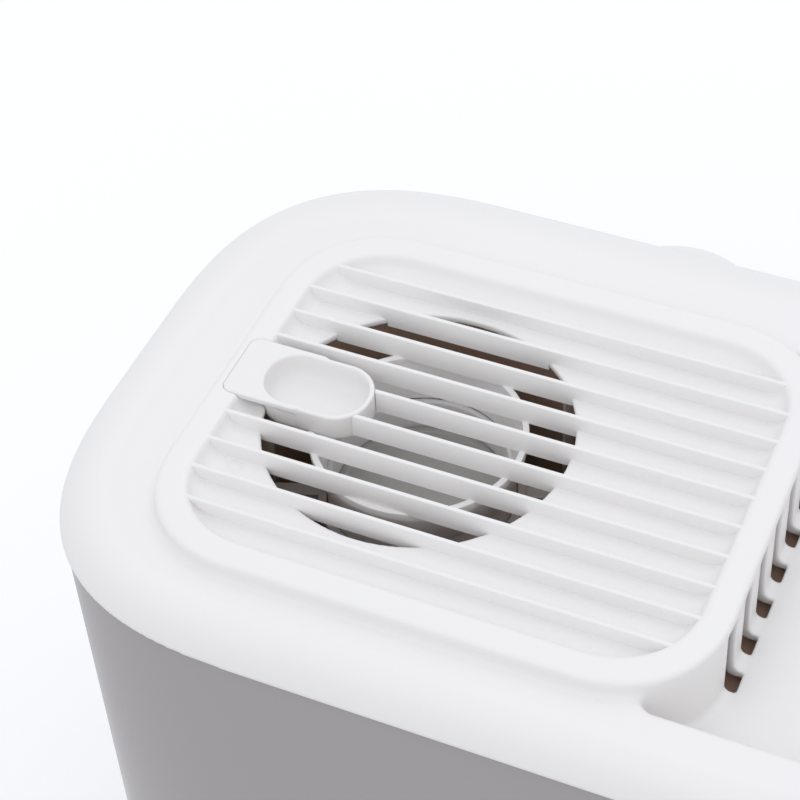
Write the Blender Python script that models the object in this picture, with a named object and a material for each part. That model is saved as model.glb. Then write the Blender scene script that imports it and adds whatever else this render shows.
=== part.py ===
"""Cool mist humidifier: a rounded rectangular water tank under a lift-off lid.

The lid carries a slatted air outlet in a raised frame, a fill basin beside it, a lift-out scent tray,
three buttons and an axial fan that draws air up through a wick filter standing in the tank.

Sizes are in millimetres and become metres where a mesh is made. X runs along the slats, Y towards the
back and Z up, with the origin under the middle of the object's footprint.
"""

import math

import bmesh
import bpy
from mathutils import Vector

MM = 0.001
GAP = 0.3

# Heights
FRAME_TOP = 300.0
DECK_TOP = 295.0
LIP_Z = 285.6
BASIN_FLOOR = 275.0
TANK_TOP = LIP_Z - GAP
TANK_BOTTOM = 5.0

# Lid outline: half sizes, corner size and corner power of the lip
LID_CENTRE = (0.0, -1.8)
LID_HALF_X = 142.0
LID_HALF_Y = 98.2
LID_CORNER = 83.0
LID_POWER = 2.72
CREASE_CENTRE = (0.0, -7.2)
CREASE_HALF_X = 125.0
CREASE_HALF_Y = 78.6
CREASE_CORNER = 62.0
CROWN_POWER = 2.67
CROWN_STEPS = 6
SKIN = 2.5

# Raised frame, recess, slats and fan opening
COVER_CENTRE = (-25.5, -9.5)
COVER_HALF = (82.3, 68.5)
COVER_CORNER = 34.0
RECESS_HALF = (73.8, 59.6)
RECESS_CORNER = 26.0
CORNER_POWER = 2.2
SLAT_COUNT = 10
SLAT_PITCH = 11.0
SLAT_THICK = 1.6
SLAT_TOP = FRAME_TOP - 0.3
SLAT_LOW = 292.0
FAN_CENTRE = (-48.3, -8.1)
HOLE_RADIUS = 44.6
RING_RADIUS = 31.4
RING_WALL = 1.9
RING_TOP = 292.4
RING_LOW = 290.0

# Fill basin and its comb of slots
BASIN_LEFT = 41.0
BASIN_RIGHT = 107.0
BASIN_FRONT = COVER_CENTRE[1] - COVER_HALF[1] + 0.9
BASIN_BACK = COVER_CENTRE[1] + COVER_HALF[1] - 1.0
BASIN_CORNER = 5.0
BASIN_WALL = 2.4
COMB_COUNT = 7
COMB_PITCH = 13.3
COMB_FIRST_Y = COVER_CENTRE[1] - 36.7
COMB_WIDTH = 6.6
COMB_TOP = FRAME_TOP - 2.4
COMB_REACH = 2.7
COMB_DEPTH = 3.3

# Scent tray
TRAY_CENTRE = (-79.6, -8.2)
TRAY_HALF = (17.0, 10.9)
TRAY_CORNER = 10.4
TRAY_WALL = 1.5
TRAY_LOW = 290.0
FLANGE_LEFT = -105.0
FLANGE_HALF_Y = 11.3
FLANGE_THICK = 1.9

# Tank
TANK_INSET = 1.2
TANK_WALL = 2.6
TANK_FLOOR = 3.0
SKIRT_INSET = TANK_INSET + TANK_WALL + 0.5
SKIRT_WALL = 2.0
SKIRT_LOW = 277.0
FOOT_PLACES = ((-92.0, -56.0), (92.0, -56.0), (-92.0, 48.0), (92.0, 48.0))
FOOT_RADIUS = 10.0
PEG_RADIUS = 4.0

# Lid seal, in a groove round the skirt, broken where the rear housing passes
SEAL_GROOVE = (280.6, 283.8)
SEAL_GAP_X = 31.0
SEAL_GAP_Y = 60.0

# Rear housing with the power inlet
POST_CENTRE_Y = 75.0
POST_RADIUS = 25.0
POST_FLAT_Y = 78.0
POST_LOW = 226.0
INLET_Z = 252.0
INLET_FACE_Y = 91.3
INLET_RADIUS = 6.3
INLET_DEPTH = 12.0

# Fan unit
DUCT_INNER = 48.0
DUCT_OUTER = 49.6
DUCT_LOW = 226.0
DUCT_TOP = TRAY_LOW - 0.6
DUCT_FLANGE = (58.0, 281.0, 283.7)
BOSS_LOW = 284.0
SCREW_CIRCLE = 54.0
POD_LOW = 250.0
POD_FLOOR = (262.5, 265.5)
POD_RIM_Z = 277.5
POD_RADII = (25.6, 27.5)
HUB_RADII = (27.8, 30.4)
HUB_HEIGHTS = (256.0, 268.0)
STRUT_COUNT = 4
STRUT_HALF = 2.4
MOTOR_RADIUS = 21.0
MOTOR_LOW = 246.0

# Impeller
ROTOR_Z = 237.5
ROTOR_HUB = 18.5
ROTOR_HUB_HEIGHTS = (231.0, 244.0)
ROTOR_BORE = 2.3
BLADE_COUNT = 7
BLADE_REACH = (16.5, 45.4)
BLADE_THICK = 1.6
BLADE_PITCH = (48.0, 26.0)
BLADE_CHORD = (14.0, 21.0)
BLADE_SWEEP = 0.25
SHAFT_RADIUS = 2.0

# Air guide under the comb
GUIDE_LOW = (28.0, -53.0, 268.0)
GUIDE_HIGH = (61.5, 41.0, BASIN_FLOOR - SKIN - GAP)
GUIDE_WALL = 2.0

# Wick filter, its dish and its cap
WICK_RADII = (47.0, 60.0)
WICK_LOW = 17.0
WICK_TOP = 215.5
DISH_FLOOR = (13.5, 16.7)
DISH_TOP = 26.0
DISH_LEG_LOW = 8.3
DISH_LEG_REACH = 52.0

# Level window
WINDOW_X = 45.0
WINDOW_HALF = 6.8
WINDOW_LOW = 60.0
WINDOW_HIGH = 200.0
WINDOW_FLANGE = 4.0

# Float and its guide, behind the window
FLOAT_GUIDE_HALF = 11.5
FLOAT_GUIDE_DEPTH = 14.5
FLOAT_GUIDE_LOW = 40.0
FLOAT_GUIDE_HIGH = 214.0
FLOW_COUNT = 3
FLOW_PITCH = 52.0
FLOW_HEIGHT = 34.0

# Buttons
BUTTON_X = 118.0
BUTTON_SPACING = 18.0
BUTTON_RADIUS = 5.0
BUTTON_LOW = 287.8
BUTTON_TOP = 296.4

# Control case, board and button pad
CONTROL_Y = CREASE_CENTRE[1]
CASE_X = (110.0, 127.2)
CASE_HALF_Y = 37.0
CASE_LOW = 268.0
CASE_TOP = DECK_TOP - SKIN - 0.8
CASE_WALL = 1.4
TAB_LOW = 289.4
BOARD_HEIGHTS = (281.5, 283.1)
PAD_HEIGHTS = (283.4, 284.6)

materials = {}


def clear_scene():
    for obj in list(bpy.data.objects):
        bpy.data.objects.remove(obj, do_unlink=True)


def material(name, colour, roughness, metallic=0.0):
    """The material of this name, made once."""
    if name not in materials:
        made = bpy.data.materials.new(name)
        made.use_nodes = True
        shader = made.node_tree.nodes["Principled BSDF"]
        shader.inputs["Base Color"].default_value = (*colour, 1.0)
        shader.inputs["Roughness"].default_value = roughness
        shader.inputs["Metallic"].default_value = metallic
        made.diffuse_color = (*colour, 1.0)
        materials[name] = made
    return materials[name]


def white_plastic():
    return material("white_plastic", (0.86, 0.86, 0.87), 0.42)


def grey_plastic():
    return material("grey_plastic", (0.42, 0.41, 0.40), 0.5)


def dark_plastic():
    return material("dark_plastic", (0.10, 0.075, 0.062), 0.55)


def brown_plastic():
    return material("duct_brown", (0.16, 0.115, 0.092), 0.5)


def rubber():
    return material("rubber", (0.12, 0.12, 0.125), 0.8)


def steel():
    return material("steel", (0.62, 0.62, 0.63), 0.3, 1.0)


def new_object(name, shape):
    """A linked object from a bmesh in millimetres."""
    bmesh.ops.recalc_face_normals(shape, faces=shape.faces)
    mesh = bpy.data.meshes.new(name)
    bmesh.ops.scale(shape, vec=(MM, MM, MM), verts=shape.verts)
    shape.to_mesh(mesh)
    shape.free()
    obj = bpy.data.objects.new(name, mesh)
    bpy.context.scene.collection.objects.link(obj)
    return obj


def outline(centre, half_x, half_y, corner, power=2.0, grow=0.0, steps=8):
    """A rounded rectangle, anticlockwise; power 2 gives circular corners and more gives fuller ones."""
    half_x = half_x + grow
    half_y = half_y + grow
    corner = max(corner + grow, 0.5)
    quarter = []
    for step in range(steps + 1):
        angle = math.pi / 2 * step / steps
        along = math.cos(angle) ** (2.0 / power) if step < steps else 0.0
        across = math.sin(angle) ** (2.0 / power) if step > 0 else 0.0
        quarter.append((half_x - corner + corner * along, half_y - corner + corner * across))
    points = list(quarter)
    points += [(-x, y) for x, y in reversed(quarter)]
    points += [(-x, -y) for x, y in quarter]
    points += [(x, -y) for x, y in reversed(quarter)]
    return [(centre[0] + x, centre[1] + y) for x, y in points]


def circle(centre, radius, steps=40):
    angles = [2 * math.pi * step / steps for step in range(steps)]
    return [(centre[0] + radius * math.cos(a), centre[1] + radius * math.sin(a)) for a in angles]


def loft(name, rings):
    """A closed solid through rings of equal count, each a pair of points and a height."""
    shape = bmesh.new()
    levels = []
    for points, height in rings:
        levels.append([shape.verts.new((x, y, height)) for x, y in points])
    shape.faces.new(list(reversed(levels[0])))
    shape.faces.new(levels[-1])
    for lower, upper in zip(levels, levels[1:]):
        for i in range(len(lower)):
            j = (i + 1) % len(lower)
            shape.faces.new((lower[i], lower[j], upper[j], upper[i]))
    return new_object(name, shape)


def prism(name, points, low, high):
    return loft(name, [(points, low), (points, high)])


def box(name, low, high):
    points = [(low[0], low[1]), (high[0], low[1]), (high[0], high[1]), (low[0], high[1])]
    return prism(name, points, low[2], high[2])


def cylinder(name, centre, radius, low, high, steps=32):
    return prism(name, circle(centre, radius, steps), low, high)


def turned(name, centre, profile, steps=40):
    """A closed profile of (radius, height) points turned about a vertical axis; radius 0 is allowed."""
    shape = bmesh.new()
    columns = []
    for step in range(steps):
        angle = 2 * math.pi * step / steps
        across = (math.cos(angle), math.sin(angle))
        column = []
        for index, (radius, height) in enumerate(profile):
            if radius == 0 and step > 0:
                column.append(columns[0][index])
                continue
            place = (centre[0] + radius * across[0], centre[1] + radius * across[1], height)
            column.append(shape.verts.new(place))
        columns.append(column)
    for step in range(steps):
        here = columns[step]
        there = columns[(step + 1) % steps]
        for i in range(len(profile)):
            j = (i + 1) % len(profile)
            corners = []
            for vertex in (here[i], there[i], there[j], here[j]):
                if vertex not in corners:
                    corners.append(vertex)
            if len(corners) > 2:
                shape.faces.new(corners)
    return new_object(name, shape)


def combine(target, tool, operation):
    """Applies one exact Boolean to target and removes the tool."""
    modifier = target.modifiers.new("combine", "BOOLEAN")
    modifier.operation = operation
    modifier.solver = "EXACT"
    modifier.object = tool
    bpy.context.view_layer.update()
    graph = bpy.context.evaluated_depsgraph_get()
    result = bpy.data.meshes.new_from_object(target.evaluated_get(graph))
    target.modifiers.clear()
    target.data = result
    bpy.data.objects.remove(tool, do_unlink=True)
    return target


def add(target, *tools):
    for tool in tools:
        combine(target, tool, "UNION")
    return target


def cut(target, *tools):
    for tool in tools:
        combine(target, tool, "DIFFERENCE")
    return target


def keep(target, tool):
    return combine(target, tool, "INTERSECT")


def finish(obj, finish_material, origin=None):
    """Names the mesh, gives it its material and smooth shading, and moves the origin to a joint axis."""
    obj.data.name = obj.name
    obj.data.materials.clear()
    obj.data.materials.append(finish_material)
    obj.data.shade_smooth()
    obj.data.set_sharp_from_angle(angle=math.radians(35))
    if origin is not None:
        place = Vector(origin) * MM
        for vertex in obj.data.vertices:
            vertex.co -= place
        obj.location = place
    return obj


def lip_outline(inset=0.0):
    return outline(LID_CENTRE, LID_HALF_X, LID_HALF_Y, LID_CORNER, LID_POWER, -inset, 10)


def crease_outline():
    return outline(CREASE_CENTRE, CREASE_HALF_X, CREASE_HALF_Y, CREASE_CORNER, LID_POWER, 0.0, 10)


def cover_outline(grow=0.0):
    return outline(COVER_CENTRE, *COVER_HALF, COVER_CORNER, CORNER_POWER, grow)


def recess_outline(grow=0.0):
    return outline(COVER_CENTRE, *RECESS_HALF, RECESS_CORNER, CORNER_POWER, grow)


def basin_outline(grow=0.0):
    centre = ((BASIN_LEFT + BASIN_RIGHT) / 2, (BASIN_FRONT + BASIN_BACK) / 2)
    half = ((BASIN_RIGHT - BASIN_LEFT) / 2, (BASIN_BACK - BASIN_FRONT) / 2)
    return outline(centre, *half, BASIN_CORNER, 2.0, grow, 4)


def tray_outline(grow=0.0):
    return outline(TRAY_CENTRE, *TRAY_HALF, TRAY_CORNER, 2.0, grow, 7)


def crown(name, inset, drop, low):
    """The lid's outer shape, moved in by inset and down by drop, closed with a flat underside at low."""
    lip = lip_outline(inset)
    crease = crease_outline()
    rings = [(lip, low)] if low < LIP_Z - drop else []
    for step in range(CROWN_STEPS + 1):
        out = 1.0 - step / CROWN_STEPS
        height = DECK_TOP - drop - (DECK_TOP - LIP_Z) * out**CROWN_POWER
        points = [(a[0] * out + b[0] * (1 - out), a[1] * out + b[1] * (1 - out)) for a, b in zip(lip, crease)]
        rings.append((points, height))
    return loft(name, rings)


def slat(index):
    """One slat: shallow over the recess floor and deep over the fan opening."""
    y = COVER_CENTRE[1] + (SLAT_COUNT - 1) * SLAT_PITCH / 2 - index * SLAT_PITCH
    low = (COVER_CENTRE[0] - COVER_HALF[0], y - SLAT_THICK / 2, DECK_TOP - 1.0)
    high = (COVER_CENTRE[0] + COVER_HALF[0], y + SLAT_THICK / 2, SLAT_TOP)
    shallow = keep(box("slat", low, high), prism("bound", recess_outline(0.8), SLAT_LOW - 1, FRAME_TOP))
    if abs(y - FAN_CENTRE[1]) > HOLE_RADIUS - 2:
        return shallow
    half = math.sqrt(HOLE_RADIUS**2 - (abs(y - FAN_CENTRE[1]) + 1) ** 2) + 0.9
    low = (FAN_CENTRE[0] - half, y - SLAT_THICK / 2, SLAT_LOW)
    high = (FAN_CENTRE[0] + half, y + SLAT_THICK / 2, DECK_TOP)
    return add(shallow, box("deep", low, high))


def tray_room():
    """The space that the scent tray's cup and flange drop into."""
    cup = prism("cup_room", tray_outline(GAP), TRAY_LOW - 5, FRAME_TOP + 2)
    low = (FLANGE_LEFT - GAP, TRAY_CENTRE[1] - FLANGE_HALF_Y - GAP, FRAME_TOP - FLANGE_THICK - GAP)
    high = (TRAY_CENTRE[0], TRAY_CENTRE[1] + FLANGE_HALF_Y + GAP, FRAME_TOP + 2)
    return add(cup, box("flange_room", low, high))


def comb_slot(index):
    y = COMB_FIRST_Y + index * COMB_PITCH
    wall_x = COVER_CENTRE[0] + COVER_HALF[0]
    low = (wall_x - COMB_DEPTH, y - COMB_WIDTH / 2, BASIN_FLOOR - 2 * SKIN)
    high = (wall_x + COMB_REACH, y + COMB_WIDTH / 2, COMB_TOP)
    return box("comb_slot", low, high)


def screw_places():
    reach = SCREW_CIRCLE * math.sqrt(0.5)
    return [(FAN_CENTRE[0] + sx * reach, FAN_CENTRE[1] + sy * reach) for sx in (-1, 1) for sy in (-1, 1)]


def case_screw_places():
    return [(BUTTON_X - 2.5, CONTROL_Y + side * (CASE_HALF_Y + 4.5)) for side in (-1, 1)]


def button_places():
    return [(BUTTON_X, CONTROL_Y + step * BUTTON_SPACING) for step in (-1, 0, 1)]


def make_top_deck():
    deck = crown("top_deck", 0.0, 0.0, LIP_Z)
    cut(deck, crown("crown_void", SKIN, SKIN, LIP_Z - 6))
    skirt = prism("skirt", lip_outline(SKIRT_INSET), SKIRT_LOW, DECK_TOP + 1)
    cut(skirt, prism("skirt_void", lip_outline(SKIRT_INSET + SKIRT_WALL), SKIRT_LOW - 1, DECK_TOP + 2))
    keep(skirt, crown("crown_bound", 0.3, 0.3, SKIRT_LOW - 2))
    cut(skirt, box("seal_gap", (-SEAL_GAP_X, SEAL_GAP_Y, SKIRT_LOW - 2), (SEAL_GAP_X, 100, LIP_Z + 0.4)))
    low, high = SEAL_GROOVE
    groove = prism("groove", lip_outline(SKIRT_INSET - 1), low, high)
    cut(groove, prism("groove_core", lip_outline(SKIRT_INSET + 1.1), low - 1, high + 1))
    cut(skirt, groove)
    add(deck, skirt)
    frame = prism("frame", cover_outline(), DECK_TOP - 1.0, FRAME_TOP)
    cut(frame, prism("recess", recess_outline(), DECK_TOP - 2, FRAME_TOP + 1))
    add(deck, frame)
    basin = prism("basin", basin_outline(BASIN_WALL), BASIN_FLOOR - SKIN, DECK_TOP - 0.5)
    cut(basin, prism("under_cover", cover_outline(-SKIN), BASIN_FLOOR - 9, DECK_TOP - SKIN))
    add(deck, basin)
    room = prism("basin_room", basin_outline(), BASIN_FLOOR, FRAME_TOP + 5)
    cut(room, prism("cover_block", cover_outline(), BASIN_FLOOR - 5, FRAME_TOP + 8))
    cut(deck, room)
    cut(deck, *[comb_slot(i) for i in range(COMB_COUNT)])
    cut(deck, cylinder("fan_hole", FAN_CENTRE, HOLE_RADIUS, DECK_TOP - 8, DECK_TOP + 0.7, 56))
    for index in range(SLAT_COUNT):
        add(deck, slat(index))
    ring = cylinder("ring", FAN_CENTRE, RING_RADIUS, RING_LOW, RING_TOP, 44)
    cut(ring, cylinder("ring_hole", FAN_CENTRE, RING_RADIUS - RING_WALL, RING_LOW - 1, RING_TOP + 1, 44))
    add(deck, ring)
    cut(deck, tray_room())
    for x, y in screw_places():
        add(deck, cylinder("boss", (x, y), 4.0, BOSS_LOW, DECK_TOP - 1.5, 16))
        cut(deck, cylinder("pilot", (x, y), 1.5, BOSS_LOW - 1, DECK_TOP - 3, 12))
    for x, y in case_screw_places():
        cut(deck, cylinder("pilot", (x, y), 1.6, DECK_TOP - SKIN - 2, DECK_TOP - 0.9, 12))
    for place in button_places():
        cut(deck, cylinder("button_hole", place, BUTTON_RADIUS + GAP, DECK_TOP - 5, DECK_TOP + 2, 28))
    lens_hole = cylinder("lens_hole", lens_place(), 2.3, DECK_TOP - 5, DECK_TOP + 2, 16)
    cut(deck, lens_hole)
    return finish(deck, white_plastic())


def lens_place():
    return (BUTTON_X, CONTROL_Y + 1.75 * BUTTON_SPACING)


def make_scent_tray():
    tray = prism("scent_tray", tray_outline(), TRAY_LOW, FRAME_TOP)
    low = (FLANGE_LEFT, TRAY_CENTRE[1] - FLANGE_HALF_Y, FRAME_TOP - FLANGE_THICK)
    high = (TRAY_CENTRE[0], TRAY_CENTRE[1] + FLANGE_HALF_Y, FRAME_TOP)
    add(tray, box("flange", low, high))
    levels = ((9.2, 1.6), (5.4, 2.2), (2.6, 4.6), (TRAY_WALL, FRAME_TOP + 1 - TRAY_LOW))
    scoop = [(tray_outline(-inset), TRAY_LOW + rise) for inset, rise in levels]
    cut(tray, loft("scoop", scoop))
    return finish(tray, white_plastic())


def make_tank():
    insets = ((6.0, 0.0), (2.4, 2.0), (0.4, 6.0), (0.0, 12.0))
    rings = [(lip_outline(TANK_INSET + inset), TANK_BOTTOM + rise) for inset, rise in insets]
    rings.append((lip_outline(TANK_INSET), TANK_TOP))
    tank = loft("water_tank", rings)
    cut(tank, rear_post("pocket", POST_RADIUS + 0.5, POST_FLAT_Y - 0.5, POST_LOW - 0.5, TANK_TOP + 5))
    inset_wall = TANK_INSET + TANK_WALL
    inside_low = TANK_BOTTOM + TANK_FLOOR
    inner = [(lip_outline(inset_wall + inset), inside_low + rise) for inset, rise in insets]
    inner.append((lip_outline(inset_wall), TANK_TOP + 5))
    room = loft("room", inner)
    wall = rear_post("pocket_wall", POST_RADIUS + 3.1, POST_FLAT_Y - 3.1, POST_LOW - 3.1, TANK_TOP + 8)
    cut(room, wall)
    cut(tank, room)
    low = (WINDOW_X - WINDOW_HALF - GAP, -110, WINDOW_LOW - GAP)
    high = (WINDOW_X + WINDOW_HALF + GAP, -90, WINDOW_HIGH + GAP)
    cut(tank, box("window_slot", low, high))
    for place in FOOT_PLACES:
        cut(tank, cylinder("peg_hole", place, PEG_RADIUS + GAP, TANK_BOTTOM - 1, TANK_BOTTOM + 1.9, 16))
    return finish(tank, white_plastic())


def rear_post(name, radius, flat_y, low, high):
    """An upright round post at the middle of the back, with a flat on its inner side."""
    post = cylinder(name, (0.0, POST_CENTRE_Y), radius, low, high, 48)
    return cut(post, box("flat", (-60, 0, low - 1), (60, flat_y, high + 1)))


def make_feet():
    names = ("foot_front_left", "foot_front_right", "foot_back_left", "foot_back_right")
    for name, place in zip(names, FOOT_PLACES):
        profile = [
            (0, 0),
            (FOOT_RADIUS - 1.2, 0),
            (FOOT_RADIUS, 1.2),
            (FOOT_RADIUS, TANK_BOTTOM - GAP),
            (PEG_RADIUS, TANK_BOTTOM - GAP),
            (PEG_RADIUS, TANK_BOTTOM + 1.6),
            (0, TANK_BOTTOM + 1.6),
        ]
        finish(turned(name, place, profile, 24), rubber())


def front_inner_y():
    return LID_CENTRE[1] - LID_HALF_Y + TANK_INSET + TANK_WALL


def make_level_window():
    """A clear strip through the front wall, its gasket, and the float with its guide behind it."""
    inner = front_inner_y()
    face = LID_CENTRE[1] - LID_HALF_Y + TANK_INSET
    strip = box(
        "level_window",
        (WINDOW_X - WINDOW_HALF, face + 0.2, WINDOW_LOW),
        (WINDOW_X + WINDOW_HALF, inner + 1.5, WINDOW_HIGH),
    )
    flange = box(
        "flange",
        (WINDOW_X - WINDOW_HALF - WINDOW_FLANGE, inner + 1.2, WINDOW_LOW - WINDOW_FLANGE),
        (WINDOW_X + WINDOW_HALF + WINDOW_FLANGE, inner + 3.0, WINDOW_HIGH + WINDOW_FLANGE),
    )
    add(strip, flange)
    finish(strip, material("clear_plastic", (0.75, 0.8, 0.83), 0.08))
    gasket = box(
        "window_gasket",
        (WINDOW_X - WINDOW_HALF - WINDOW_FLANGE, inner + 0.2, WINDOW_LOW - WINDOW_FLANGE),
        (WINDOW_X + WINDOW_HALF + WINDOW_FLANGE, inner + 0.95, WINDOW_HIGH + WINDOW_FLANGE),
    )
    inside = box(
        "inside",
        (WINDOW_X - WINDOW_HALF - GAP, inner - 1, WINDOW_LOW - GAP),
        (WINDOW_X + WINDOW_HALF + GAP, inner + 2, WINDOW_HIGH + GAP),
    )
    finish(cut(gasket, inside), rubber())
    make_float(inner + 3.3)


def make_float(front):
    half = FLOAT_GUIDE_HALF
    low, high = FLOAT_GUIDE_LOW, FLOAT_GUIDE_HIGH
    depth = FLOAT_GUIDE_DEPTH
    guide = box("float_guide", (WINDOW_X - half, front, low), (WINDOW_X + half, front + depth, high))
    hollow_low = (WINDOW_X - half + 2, front - 1, low + 3)
    hollow_high = (WINDOW_X + half - 2, front + depth - 2, high - 3)
    cut(guide, box("hollow", hollow_low, hollow_high))
    for step in range(FLOW_COUNT):
        base = low + 18 + step * FLOW_PITCH
        flow_low = (WINDOW_X - 5, front + depth - 4, base)
        flow_high = (WINDOW_X + 5, front + depth + 1, base + FLOW_HEIGHT)
        cut(guide, box("flow", flow_low, flow_high))
    finish(guide, grey_plastic())
    middle = (WINDOW_X, front + 6.6)
    bottom = low + 3.4
    shape = []
    for inset, height in ((2.0, 0.0), (0.0, 2.5), (0.0, 11.5), (2.0, 14.0)):
        shape.append((outline(middle, 7.4, 4.9, 4.2, 2.0, -inset, 4), bottom + height))
    level_float = loft("level_float", shape)
    finish(level_float, material("float_red", (0.72, 0.16, 0.08), 0.45), (*middle, bottom))


def make_wick_filter():
    inner, outer = WICK_RADII
    low, high = WICK_LOW, WICK_TOP
    wick = turned("wick_filter", FAN_CENTRE, [(inner, low), (outer, low), (outer, high), (inner, high)], 48)
    finish(wick, material("wick_fibre", (0.80, 0.79, 0.74), 0.95))
    rim = outer + 3.0
    profile = [
        (0, DISH_FLOOR[0]),
        (rim, DISH_FLOOR[0]),
        (rim, DISH_TOP),
        (outer + 0.4, DISH_TOP),
        (outer + 0.4, DISH_FLOOR[1]),
        (0, DISH_FLOOR[1]),
    ]
    base = turned("filter_base", FAN_CENTRE, profile, 48)
    for sx, sy in ((1, 0), (-1, 0), (0, 1), (0, -1)):
        x = FAN_CENTRE[0] + sx * DISH_LEG_REACH
        y = FAN_CENTRE[1] + sy * DISH_LEG_REACH
        add(base, box("leg", (x - 4, y - 4, DISH_LEG_LOW), (x + 4, y + 4, DISH_FLOOR[0] + 1)))
    finish(base, grey_plastic())
    profile = [
        (inner - 0.3, high + 0.3),
        (inner - 0.3, high + 3.2),
        (rim, high + 3.2),
        (rim, high - 9.0),
        (outer + 0.4, high - 9.0),
        (outer + 0.4, high + 0.3),
    ]
    finish(turned("filter_cap", FAN_CENTRE, profile, 48), grey_plastic())


def make_fan_housing():
    flange_radius, flange_low, flange_high = DUCT_FLANGE
    profile = [
        (DUCT_INNER, DUCT_LOW),
        (DUCT_OUTER, DUCT_LOW),
        (DUCT_OUTER, flange_low),
        (flange_radius, flange_low),
        (flange_radius, flange_high),
        (DUCT_OUTER, flange_high),
        (DUCT_OUTER, DUCT_TOP),
        (DUCT_INNER, DUCT_TOP),
    ]
    housing = turned("fan_housing", FAN_CENTRE, profile, 48)
    inner, outer = HUB_RADII
    low, high = HUB_HEIGHTS
    hub = turned("hub", FAN_CENTRE, [(inner, low), (outer, low), (outer, high), (inner, high)], 48)
    for step in range(STRUT_COUNT):
        angle = math.radians(20 + 360 * step / STRUT_COUNT)
        add(hub, spoke(angle, (inner + outer) / 2, DUCT_INNER + 1.0, STRUT_HALF, low + 2, high - 1))
    add(housing, hub)
    for place in screw_places():
        cut(housing, cylinder("hole", place, 1.8, flange_low - 1, flange_high + 1, 12))
    return finish(housing, brown_plastic())


def spoke(angle, start, end, half_width, low, high):
    """A straight bar that leaves the fan's axis at an angle."""
    along = (math.cos(angle), math.sin(angle))
    across = (-along[1], along[0])
    corners = []
    for reach, side in ((start, -1), (end, -1), (end, 1), (start, 1)):
        x = FAN_CENTRE[0] + along[0] * reach + across[0] * side * half_width
        y = FAN_CENTRE[1] + along[1] * reach + across[1] * side * half_width
        corners.append((x, y))
    return prism("spoke", corners, low, high)


def make_motor():
    inner, outer = POD_RADII
    floor_low, floor_high = POD_FLOOR
    profile = [
        (0, floor_low),
        (inner, floor_low),
        (inner, POD_LOW),
        (outer, POD_LOW),
        (outer, POD_RIM_Z),
        (inner, POD_RIM_Z),
        (inner, floor_high),
        (0, floor_high),
    ]
    finish(turned("motor_pod", FAN_CENTRE, profile, 48), white_plastic())
    disc = cylinder("pod_disc", FAN_CENTRE, inner - 0.4, floor_high + GAP, floor_high + 2.1, 48)
    finish(disc, material("disc_grey", (0.30, 0.29, 0.28), 0.35))
    profile = [
        (0, MOTOR_LOW),
        (6.0, MOTOR_LOW),
        (6.0, MOTOR_LOW + 2),
        (MOTOR_RADIUS - 2, MOTOR_LOW + 2),
        (MOTOR_RADIUS, MOTOR_LOW + 4),
        (MOTOR_RADIUS, floor_low - GAP),
        (0, floor_low - GAP),
    ]
    finish(turned("fan_motor", FAN_CENTRE, profile, 36), steel())


def between(ends, share):
    return ends[0] + (ends[1] - ends[0]) * share


def blade(index):
    """One twisted blade, from the hub outwards."""
    steps = 4
    shape = bmesh.new()
    levels = []
    for step in range(steps + 1):
        share = step / steps
        radius = between(BLADE_REACH, share)
        pitch = math.radians(between(BLADE_PITCH, share))
        chord = between(BLADE_CHORD, share)
        angle = 2 * math.pi * index / BLADE_COUNT + BLADE_SWEEP * share
        outward = Vector((math.cos(angle), math.sin(angle), 0))
        around = Vector((-math.sin(angle), math.cos(angle), 0))
        along = around * math.cos(pitch) + Vector((0, 0, 1)) * math.sin(pitch)
        normal = outward.cross(along)
        middle = Vector((*FAN_CENTRE, ROTOR_Z)) + outward * radius
        corners = []
        for side, face in ((-0.5, -0.5), (0.5, -0.5), (0.5, 0.5), (-0.5, 0.5)):
            corners.append(shape.verts.new(middle + along * chord * side + normal * BLADE_THICK * face))
        levels.append(corners)
    shape.faces.new(levels[0])
    shape.faces.new(list(reversed(levels[-1])))
    for lower, upper in zip(levels, levels[1:]):
        for i in range(4):
            j = (i + 1) % 4
            shape.faces.new((lower[i], lower[j], upper[j], upper[i]))
    return new_object("blade", shape)


def make_impeller():
    low, high = ROTOR_HUB_HEIGHTS
    bore, post_radius = ROTOR_BORE, 6.0
    profile = [
        (bore, low),
        (ROTOR_HUB - 1.5, low),
        (ROTOR_HUB, low + 1.5),
        (ROTOR_HUB, high),
        (ROTOR_HUB - 1.8, high),
        (ROTOR_HUB - 1.8, low + 3),
        (post_radius, low + 3),
        (post_radius, high - 1),
        (bore, high - 1),
    ]
    impeller = turned("fan_impeller", FAN_CENTRE, profile, 36)
    for index in range(BLADE_COUNT):
        add(impeller, blade(index))
    cut(impeller, cylinder("hub_clear", FAN_CENTRE, ROTOR_HUB - 3, low + 3.2, high + 8, 36))
    post_profile = [(bore, low + 2), (post_radius, low + 2), (post_radius, high - 1), (bore, high - 1)]
    add(impeller, turned("post", FAN_CENTRE, post_profile, 36))
    axis_point = (*FAN_CENTRE, ROTOR_Z)
    finish(impeller, brown_plastic(), axis_point)
    shaft = cylinder("motor_shaft", FAN_CENTRE, SHAFT_RADIUS, low - 7, MOTOR_LOW - GAP, 20)
    finish(shaft, steel(), axis_point)
    nut = cylinder("impeller_nut", FAN_CENTRE, 5.0, low - 4.4, low - GAP, 6)
    cut(nut, cylinder("nut_hole", FAN_CENTRE, bore, low - 6, low + 1, 16))
    finish(nut, material("brass", (0.72, 0.55, 0.26), 0.35, 1.0), axis_point)


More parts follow.
